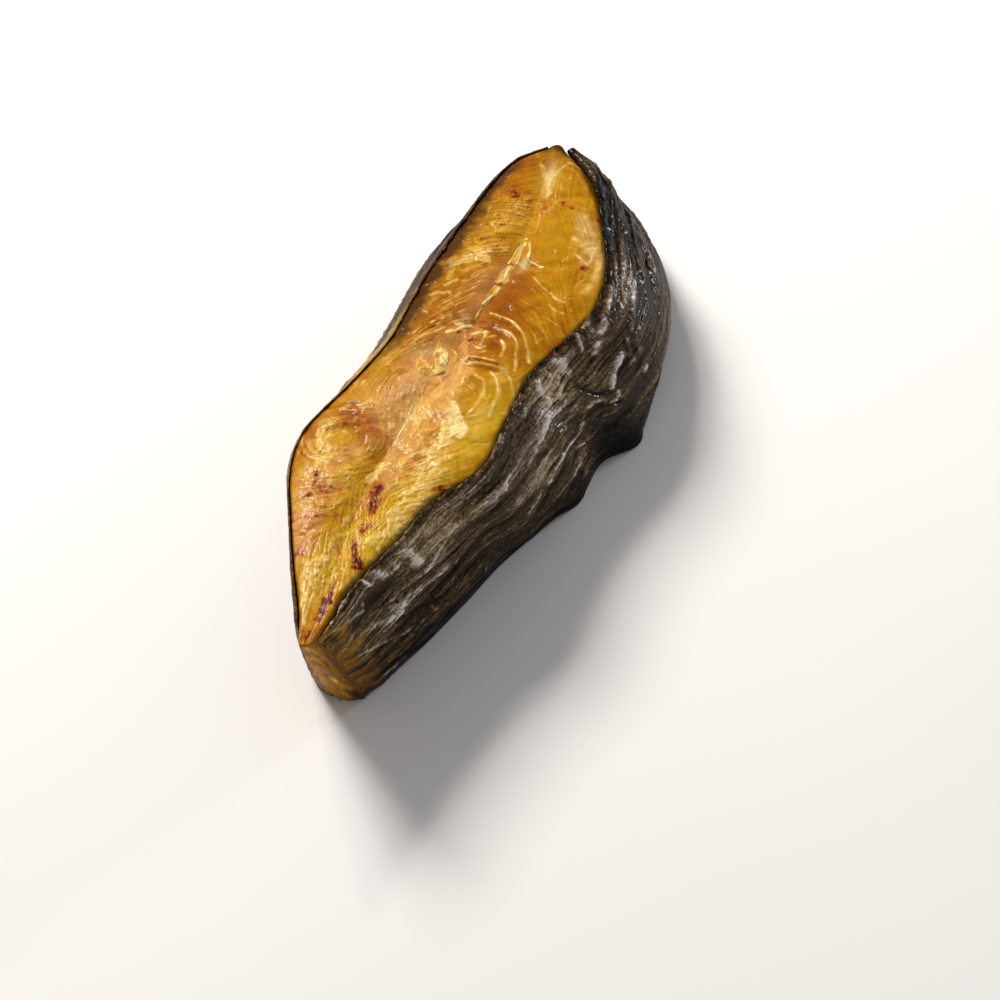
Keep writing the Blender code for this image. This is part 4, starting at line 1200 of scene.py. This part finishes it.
def make_skin(name, node, side, counts, drawn, worn_lip, seed):
    """One sheet of skin. Its side is -1 on the right wall and 1 on the left one."""
    bm = block(counts)
    outer = [
        edge for edge in bm.edges
        if any(min(v.co[axis] for v in edge.verts) > 1 - ON_SIDE for axis in (1, 2))
    ]
    bmesh.ops.subdivide_edges(bm, edges=outer, cuts=OUTER_CUTS, use_grid_fill=True)
    mesh = to_mesh(bm, name)
    along, depth, up = places_of(mesh).T
    crests, hollows, shades, flaps = drawn
    torn_edge = 0.004 * rough_noise(up * 6, 0 * up + seed, seed + 12)
    s = mix(SKIN_START + torn_edge * (1 - along) ** 30, SKIN_END, along)
    ragged = RAGGED_TOP * rough_noise(s * TOP_LENGTH / MM / 5, 0 * s + seed, seed + 11, 4)
    top = 1 - (TOP_DROP + ragged + TUCK * (1 - depth)) / HEIGHT
    w = mix(SKIN_CLEARANCE / HEIGHT, top, up)
    wall, outward = wall_frame(s, side, w)
    u, v = WALL_LENGTH * s, WALL_WIDTH * w
    relief, masks = skin_relief(u, v, s, crests, hollows, shades, seed)
    gap = SKIN_GAP * mix(NEAR_THIN, 1, smooth_step(0, 0.03, along))
    thickness = skin_thickness(along, up, s, v, relief, flaps, seed)
    points = wall + outward * (gap + depth * thickness)[:, None]
    points[:, 2] = np.maximum(points[:, 2], SKIN_CLEARANCE)
    bend(mesh, points)
    if side < 0:
        mesh.flip_normals()
    near_edge = along + 0.035 * rough_noise(v / 5, u / 5, seed + 13, 4)
    top_edge = up + 0.02 * rough_noise(s * 40, v, seed + 15)
    masks["worn"] = np.maximum(
        smooth_step(0.052, 0.0, near_edge), worn_lip * smooth_step(0.93, 1.0, top_edge)
    )
    masks["tone"] -= 0.4 * smooth_step(0.985, 1.0, along)
    paint(mesh, masks)
    grid = mesh.uv_layers.new(name="skin_grid")
    corners = np.empty(len(mesh.loops), int)
    mesh.loops.foreach_get("vertex_index", corners)
    grid.data.foreach_set("uv", (np.stack([u, v], -1)[corners] * MM).ravel())
    return place_piece(mesh, node)


right_drawn = (RIGHT_CRESTS_AND_HIGHLIGHTS, RIGHT_SHADED_HOLLOWS, RIGHT_TONES_AND_SHADE, RIGHT_FLAPS)
left_drawn = (LEFT_CRESTS_AND_HIGHLIGHTS, LEFT_SHADED_HOLLOWS, LEFT_SHADES, LEFT_FLAPS)
right_skin = make_skin("dark_skin_right", "skin_right", -1, RIGHT_SKIN_FACES, right_drawn, 0.0, 100)
left_skin = make_skin("dark_skin_left", "skin_left", 1, LEFT_SKIN_FACES, left_drawn, 0.8, 140)

# %% [markdown]
# The backbone shows as one vertebra, sawn across and half hidden by broken tissue, with a jointed
# spine that runs to the far fin edge and a thinner one to the near. The vertebra is a box squeezed
# into an oval, and each spine a thin box bent along the median groove. All share one mesh.

# %% Backbone
VERTEBRA_OVAL = 1.3
BONE_CLEARANCE = 0.8 * MM
SPINE_DEPTH = 4.5 * MM
# Each spine has its root, tip and joints as shares of the steak's length or its own, how far left
# of the median line it lies at its root and tip in millimetres, and a profile: at places along it,
# its half width and how far it stands out in millimetres, and how pale it is.
SPINES = (
    {
        "root": 0.525, "tip": 0.80, "stray": (3.2, -1.9), "joints": (0.335, 0.52, 0.69, 0.90),
        "profile": (
            (0.0, 0.9, -1.2, 0.0), (0.12, 1.3, -0.15, 0.1), (0.20, 1.7, 0.15, 0.25),
            (0.32, 1.6, 0.4, 0.5), (0.36, 1.4, 0.45, 0.85), (0.48, 2.0, 0.45, 0.8),
            (0.54, 2.6, 0.5, 0.9), (0.66, 1.6, 0.45, 0.85), (0.71, 2.0, 0.45, 0.75),
            (0.87, 1.3, 0.4, 0.8), (0.93, 0.9, 0.2, 0.8), (1.0, 0.5, -0.2, 0.6),
        ),
    },
    {
        "root": 0.455, "tip": 0.28, "stray": (1.8, -2.6), "joints": (),
        "profile": (
            (0.0, 0.6, -0.4, 0.4), (0.10, 0.6, 0.1, 0.9), (0.3, 0.55, 0.25, 1.2),
            (0.6, 0.5, 0.15, 1.1), (0.8, 0.5, 0.15, 1.0), (1.0, 0.3, -0.4, 0.7),
        ),
    },
)
SPINE_FACES = (150, 14, 4)
VERTEBRA_FACES = (44, 44, 6)


def vertebra_points(places):
    """The vertebra's points and masks, from a unit box."""
    u, v = 2 * places[:, 0] - 1, 2 * places[:, 1] - 1
    disc_x, disc_y = u * np.sqrt(1 - v ** 2 / 2), v * np.sqrt(1 - u ** 2 / 2)
    out = np.hypot(disc_x, disc_y)
    uneven = rough_noise(disc_x * 1.4, disc_y * 1.4, 201)
    # The sawn end has a lump on its right side and a hollow on its left.
    lump = blob(disc_x, disc_y, (0.15, -0.30), (0.38, 0.30))
    hollow = blob(disc_x, disc_y, (0.20, 0.45), (0.30, 0.42))
    head = 0.20 + 0.5 * lump - 0.6 * hollow + 0.30 * uneven - 0.9 * out ** 6
    level = mix(BONE_CLEARANCE, HEIGHT + head * MM, places[:, 2])
    one = np.ones(len(places))
    centre = steak_points(VERTEBRA_PLACE * one, VERTEBRA_ACROSS * one, level / HEIGHT)
    spread = VERTEBRA_RADIUS * (1 + 0.05 * uneven * places[:, 2])
    points = centre + np.stack([disc_x * spread * VERTEBRA_OVAL, disc_y * spread, 0 * u], -1)
    relief, masks = cut_face(points[:, 0] / MM, points[:, 1] / MM)
    points[:, 2] += relief * MM * (places[:, 2] > 1 - ON_SIDE)
    masks["rose"] *= 0.4
    return points, masks


def spine_points(places, root, tip, stray, joints, profile, seed):
    """One spine's points and masks, from a unit box."""
    along, across, up = places.T
    s = mix(root, tip, along)
    x, zero = s * TOP_LENGTH / MM, 0 * s
    half_width, proud, pale = [np.interp(along, *np.array(profile)[:, (0, k)].T) for k in (1, 2, 3)]
    ragged = noise(x / 2.2, 3 * across, seed)
    waist = sum((np.exp(-((along - joint + 0.012 * ragged) / 0.008) ** 2) for joint in joints), zero)
    streak = 1.2 * rough_noise(x / 5, 3 * across * half_width, seed)
    width = half_width * (1 - 0.30 * waist) * (1 + 0.20 * ragged) * MM
    middle = 1 - (2 * across - 1) ** 4
    outline = smooth_step(0.75, 0.0, middle) * np.clip(half_width - 0.4, 0, 1)
    crown = 0.05 + proud * middle + 0.12 * streak - 0.25 * waist
    w = 1 + (broad_relief(s, zero) + mix(-SPINE_DEPTH, crown * MM, up)) / HEIGHT
    points = steak_points(s, zero, w)
    points[:, 1] += mix(stray[0], stray[1], along) * MM + (2 * across - 1) * width
    masks = {
        "gold": 0.60 - 0.4 * waist + 0.45 * streak, "rose": 0.3 * (1 - middle),
        "cream": np.clip(pale * (0.18 + 0.25 * middle + 0.75 * streak + 0.3 * ragged) - waist, 0, 1),
        "blood": np.clip(0.50 * waist + 0.6 * outline, 0, 1),
        "pearl": 0.6 * pale * np.clip(0.2 - streak + ragged, 0, 1), "rough": 0.5 + zero,
    }
    return points, masks


def make_backbone():
    """The vertebra and the spines, as one mesh."""
    bm = bmesh.new()
    shapes = [(VERTEBRA_FACES, vertebra_points, {})]
    shapes += [
        (SPINE_FACES, spine_points, {**spine, "seed": 211 + 10 * k}) for k, spine in enumerate(SPINES)
    ]
    all_points, all_masks = [], []
    for counts, shape, settings in shapes:
        part = to_mesh(block(counts), "bone_part")
        points, masks = shape(places_of(part), **settings)
        masks["dry_and_shade"] = np.zeros(len(points))
        all_points.append(points)
        all_masks.append(masks)
        bm.from_mesh(part)
        bpy.data.meshes.remove(part)
    mesh = to_mesh(bm, "backbone_bones")
    bend(mesh, np.vstack(all_points))
    paint(mesh, {name: np.hstack([m[name] for m in all_masks]) for name in all_masks[0]})
    return place_piece(mesh, "backbone")


backbone = make_backbone()

# %% [markdown]
# A finish starts from what the real surface is. The materials are networks of nodes, and one
# function adds a node with its settings and links, so that a network reads like a list.

# %% Nodes and colours
def colour(code):
    """A linear colour from an sRGB hex value."""
    parts = [int(code[k:k + 2], 16) / 255 for k in (1, 3, 5)]
    return (*[p / 12.92 if p <= 0.04045 else ((p + 0.055) / 1.055) ** 2.4 for p in parts], 1)


def add(tree, kind, settings=None, links=None):
    """Adds a node. Settings are its properties, and links its sockets' values or sources."""
    made = tree.nodes.new("ShaderNode" + kind)
    for name, value in (settings or {}).items():
        setattr(made, name, value)
    for key, value in (links or {}).items():
        if isinstance(value, bpy.types.NodeSocket):
            tree.links.new(value, made.inputs[key])
        else:
            made.inputs[key].default_value = value
    return made


# The Mix node keeps a set of sockets for each type of value. These are the colour ones.
MIX_A, MIX_B, MIX_RESULT = 6, 7, 2


def fill_ramp(ramp, stops):
    """Sets a colour ramp's stops from places and hex colours, and returns its colour."""
    elements = ramp.color_ramp.elements
    while len(elements) < len(stops):
        elements.new(0.5)
    for element, (place, code) in zip(elements, stops):
        element.position = place
        element.color = colour(code)
    return ramp.outputs["Color"]


def new_material(name, **constants):
    """A material with a Principled shader and these constants on it."""
    material = bpy.data.materials.new(name)
    material.use_nodes = True
    shader = material.node_tree.nodes["Principled BSDF"]
    for key, value in constants.items():
        shader.inputs[key.replace("_", " ")].default_value = value
    return material, material.node_tree, shader


# %% [markdown]
# Smoked flesh is translucent and oily. The translucency is a little subsurface scattering, which
# warms the hollows. The oil is a thin clear coat, so sharp glints lie over a matt amber. The bone
# under its film of tissue has the same build with paler stops.

# %% Smoked flesh and bone
# From deep amber to golden yellow: the hollows' deep amber is partly painted shade, and the crests' golden
# yellow partly painted highlight.
FLESH_STOPS = (
    (0.00, "#4e2201"), (0.25, "#864503"), (0.50, "#a26306"), (0.72, "#b17d0a"), (0.88, "#bb8c12"),
    (1.00, "#cba326"),
)
BONE_STOPS = (
    (0.00, "#5e3206"), (0.25, "#8c540c"), (0.50, "#b07c1c"), (0.72, "#c39734"), (0.88, "#d0ab4c"),
    (1.00, "#dcc070"),
)
BLOOD_STOPS = ((0.0, "#b05a14"), (0.35, "#9c410c"), (0.70, "#842b07"), (1.0, "#5e1804"))
# From the cream of fat to a pale near white, whose top end is painted highlight on wet crags.
CREAM_STOPS = ((0.0, "#d39a33"), (0.35, "#dcae50"), (0.65, "#e8c472"), (1.0, "#f5e0a6"))


def oily_tissue(name, stops):
    """Smoked flesh or bone: matt amber under a thin film of oil, in these shades."""
    material, tree, shader = new_material(
        name, Roughness=0.50, IOR=1.42, Specular_IOR_Level=0.02, Coat_Weight=0.19, Coat_Roughness=0.15,
        Subsurface_Weight=0.12, Subsurface_Scale=2.0 * MM, Subsurface_Radius=(1.0, 0.45, 0.12),
    )
    place = add(tree, "TexCoord").outputs["Object"]
    read = {
        key: add(tree, "Attribute", {"attribute_name": key}).outputs["Fac"]
        for key in ("gold", "cream", "pearl", "rose", "blood", "dry_and_shade", "rough")
    }
    mottle = add(tree, "TexNoise", None, {"Vector": place, "Scale": 1 / (4 * MM), "Detail": 5.0})
    grain = add(tree, "TexNoise", None, {"Vector": place, "Scale": 1 / (0.5 * MM), "Detail": 5.0})
    swing = add(tree, "Math", {"operation": "SUBTRACT"}, {0: grain.outputs["Fac"], 1: 0.5})
    amount = add(tree, "Math", {"operation": "MULTIPLY_ADD"}, {0: read["rough"], 1: 1.5, 2: 0.30})
    speckle = add(tree, "Math", {"operation": "MULTIPLY"}, {0: swing.outputs[0], 1: amount.outputs[0]})
    uneven = add(tree, "Math", {"operation": "MULTIPLY_ADD"}, {0: mottle.outputs["Fac"], 1: 0.5, 2: -0.25})
    spread = add(tree, "Math", None, {0: uneven.outputs[0], 1: speckle.outputs[0]})
    tone = add(tree, "Math", {"use_clamp": True}, {0: read["gold"], 1: spread.outputs[0]})
    shade = fill_ramp(add(tree, "ValToRGB", None, {"Fac": tone.outputs[0]}), stops)
    cream_tone = add(tree, "Math", {"use_clamp": True}, {0: read["cream"], 1: speckle.outputs[0]})
    cream = fill_ramp(add(tree, "ValToRGB", None, {"Fac": cream_tone.outputs[0]}), CREAM_STOPS)
    blood = fill_ramp(add(tree, "ValToRGB", None, {"Fac": read["blood"]}), BLOOD_STOPS)
    # From the lowest layer to the one on top: mask, strength and colour.
    layers = (
        ("rose", 0.88, colour("#d99f66")),
        ("cream", 1.15, cream),
        ("pearl", 0.90, colour("#d8cc9a")),
        ("blood", 1.20, blood),
        # The dark brown of the dried rim, which also paints the shadow of the skin's lip.
        ("dry_and_shade", 0.95, colour("#381b03")),
    )
    for key, strength, tint in layers:
        share = add(
            tree, "Math", {"operation": "MULTIPLY", "use_clamp": True}, {0: read[key], 1: strength}
        )
        blend = add(
            tree, "Mix", {"data_type": "RGBA"}, {0: share.outputs[0], MIX_A: shade, MIX_B: tint}
        )
        shade = blend.outputs[MIX_RESULT]
    height = add(tree, "Math", {"operation": "MULTIPLY"}, {0: grain.outputs["Fac"], 1: amount.outputs[0]})
    bump = add(
        tree, "Bump", None, {"Strength": 0.7, "Distance": 0.22 * MM, "Height": height.outputs[0]}
    )
    tree.links.new(shade, shader.inputs["Base Color"])
    tree.links.new(bump.outputs[0], shader.inputs["Normal"])
    return material


# %% [markdown]
# Dried fish skin is a dark leather with a film of oil. Its tone is painted near black in its
# hollows, as painted shade, and grey-brown to pale grey on its crests, as painted highlight. The
# crest mask gives the shade, and a fine noise that is stretched along the fish breaks it up.

# %% Dark skin
# From the hollows to the crests, where the skin is tan and where it is grey. Hollows fall to the near black
# ends, as painted shade, and crests rise to the pale grey top of the grey ramp, as painted highlight.
WARM_STOPS = (
    (0.00, "#060301"), (0.22, "#1c1207"), (0.44, "#3b2c15"), (0.60, "#57472a"), (0.78, "#887452"),
    (1.00, "#c8b698"),
)
COOL_AND_HIGHLIGHT_STOPS = (
    (0.00, "#080402"), (0.20, "#1a0f05"), (0.38, "#352413"), (0.52, "#4e3c24"), (0.64, "#6a573e"),
    (0.78, "#8f8276"), (0.90, "#b8ada9"), (1.00, "#e0d8d6"),
)
# Where the skin thins to nothing at the fin edge, amber shows through it.
WORN_STOPS = ((0.10, "#2a1503"), (0.40, "#6a4210"), (0.75, "#a67a26"))
# The noise's colour is mixed into the place by this share, which moves the borders of the scales by
# up to about 1.5 mm.
SCALE_WARP = 0.0015


def dark_skin(name, coat):
    """Dried skin under a film of oil with this weight."""
    material, tree, shader = new_material(
        name, Roughness=0.50, IOR=1.45, Specular_IOR_Level=0.03, Coat_Weight=coat, Coat_Roughness=0.12,
    )
    grid = add(tree, "TexCoord").outputs["UV"]
    stretched = add(tree, "Mapping", None, {"Vector": grid, "Scale": (1, 2.2, 1)})
    streaks = add(
        tree, "TexNoise", None,
        {"Vector": stretched.outputs[0], "Scale": 1 / (3 * MM), "Detail": 6.0, "Roughness": 0.7},
    )
    grain = add(tree, "TexNoise", None, {"Vector": grid, "Scale": 1 / (0.6 * MM), "Detail": 3.0})
    wander = add(
        tree, "Mix", {"data_type": "VECTOR"},
        {"Factor": SCALE_WARP, 4: stretched.outputs[0], 5: streaks.outputs["Color"]},
    )
    scales = add(
        tree, "TexVoronoi", {"feature": "DISTANCE_TO_EDGE"},
        {"Vector": wander.outputs[1], "Scale": 1 / (2.0 * MM)},
    )
    read = {
        key: add(tree, "Attribute", {"attribute_name": key}).outputs["Fac"]
        for key in ("tone", "tan", "worn")
    }
    tone = read["tone"]
    for source, share, middle in (
        (streaks.outputs["Fac"], 0.80, 0.5),
        (grain.outputs["Fac"], 0.45, 0.5),
        (scales.outputs[0], 0.42, 0.18),
    ):
        part = add(
            tree, "Math", {"operation": "MULTIPLY_ADD"}, {0: source, 1: share, 2: -share * middle},
        )
        tone = add(tree, "Math", None, {0: tone, 1: part.outputs[0]}).outputs[0]
    warm, cool, worn = [
        fill_ramp(add(tree, "ValToRGB", None, {"Fac": tone}), stops)
        for stops in (WARM_STOPS, COOL_AND_HIGHLIGHT_STOPS, WORN_STOPS)
    ]
    shade = add(tree, "Mix", {"data_type": "RGBA"}, {0: read["tan"], MIX_A: cool, MIX_B: warm})
    whole = add(
        tree, "Mix", {"data_type": "RGBA"},
        {0: read["worn"], MIX_A: shade.outputs[MIX_RESULT], MIX_B: worn},
    )
    bump = add(tree, "Bump", None, {"Strength": 0.5, "Distance": 0.3 * MM, "Height": tone})
    tree.links.new(whole.outputs[MIX_RESULT], shader.inputs["Base Color"])
    tree.links.new(bump.outputs[0], shader.inputs["Normal"])
    return material


# %% Give the pieces their finishes
flesh.data.materials.append(oily_tissue("smoked_halibut_flesh", FLESH_STOPS))
right_skin.data.materials.append(dark_skin("dark_leathery_skin", 0.17))
left_skin.data.materials.append(dark_skin("dark_leathery_skin_left", 0.10))
backbone.data.materials.append(oily_tissue("waxy_fish_bone", BONE_STOPS))
print("finishes:", sorted(material.name for material in bpy.data.materials))

# %% [markdown]
# The steak stands on a plain pale table, wide enough to fill the view. It is only staged, so it
# isn't a piece of the part. A faint cloud keeps it from looking like paint.

# %% Table
TABLE_SIZE = 6.0


def make_table():
    """The table top, in the plane that the steak stands on."""
    bm = bmesh.new()
    bmesh.ops.create_grid(bm, x_segments=4, y_segments=4, size=TABLE_SIZE / 2)
    mesh = to_mesh(bm, "pale_table")
    table = bpy.data.objects.new("pale_table", mesh)
    bpy.context.scene.collection.objects.link(table)
    material, tree, shader = new_material("matt_white_board", Roughness=0.85)
    place = add(tree, "TexCoord").outputs["Object"]
    cloud = add(tree, "TexNoise", None, {"Vector": place, "Scale": 3.0, "Detail": 2.0})
    ramp = add(tree, "ValToRGB", None, {"Fac": cloud.outputs["Fac"]})
    white = fill_ramp(ramp, ((0.3, "#edeff2"), (0.7, "#f2f4f6")))
    tree.links.new(white, shader.inputs["Base Color"])
    mesh.materials.append(material)


make_table()

# %% [markdown]
# The light is soft studio light. The key lamp comes over the steak's left side from the far end, so
# its right wall falls into shade. A small bright lamp beside it gives the oil its sharp glints, and
# a low one grazes the right skin, so that the wrinkles show. Sun light could do the same, but its
# shadow would be harder than the real one.

# %% Lamps and room
# Name, place, size, power and tint.
LAMPS = (
    ("key", (0.42, 0.75, 0.85), 0.40, 16.5, "#fff8ee"),
    ("spark", (0.55, 0.50, 0.78), 0.085, 1.6, "#fff4e0"),
    ("low", (0.95, -0.62, 0.26), 0.20, 4.4, "#f1eefb"),
)
ROOM_LIGHT = 0.31


def add_lamp(name, place, size, power, tint):
    """A soft square lamp that points at the steak."""
    lamp = bpy.data.lights.new(name, "AREA")
    lamp.size = size
    lamp.energy = power
    lamp.color = colour(tint)[:3]
    thing = bpy.data.objects.new(name, lamp)
    thing.location = place
    thing.rotation_euler = (-Vector(place)).to_track_quat("-Z", "Y").to_euler()
    bpy.context.scene.collection.objects.link(thing)


for lamp in LAMPS:
    add_lamp(*lamp)

world = bpy.data.worlds.new("room")
world.use_nodes = True
world.node_tree.nodes["Background"].inputs["Color"].default_value = colour("#f8f4ee")
world.node_tree.nodes["Background"].inputs["Strength"].default_value = ROOM_LIGHT
scene = bpy.context.scene
scene.world = world
scene.view_settings.view_transform = "Standard"

# %% [markdown]
# The camera is where the photographer's was, above the near end at 45 degrees. Its turn, distance
# and lens are the ones that bring the steak's outline to where the photograph has it.

# %% Camera
CAMERA_TURN = math.radians(17.6)
CAMERA_HEIGHT = math.radians(45)
CAMERA_DISTANCE = 0.5244
LOOK_AT = Vector((0.0964, -0.0165, 0)) + Vector(SHIFT)
LENS = 67.8
SENSOR = 36.0

back = Vector((
    -math.cos(CAMERA_TURN) * math.cos(CAMERA_HEIGHT),
    -math.sin(CAMERA_TURN) * math.cos(CAMERA_HEIGHT),
    math.sin(CAMERA_HEIGHT),
))
camera = bpy.data.objects.new("camera", bpy.data.cameras.new("camera"))
camera.location = LOOK_AT + back * CAMERA_DISTANCE
camera.rotation_euler = (-back).to_track_quat("-Z", "Y").to_euler()
camera.data.lens = LENS
camera.data.sensor_width = SENSOR
camera.data.clip_start = 0.01
scene.collection.objects.link(camera)
scene.camera = camera
print("camera at", [round(value, 3) for value in camera.location])
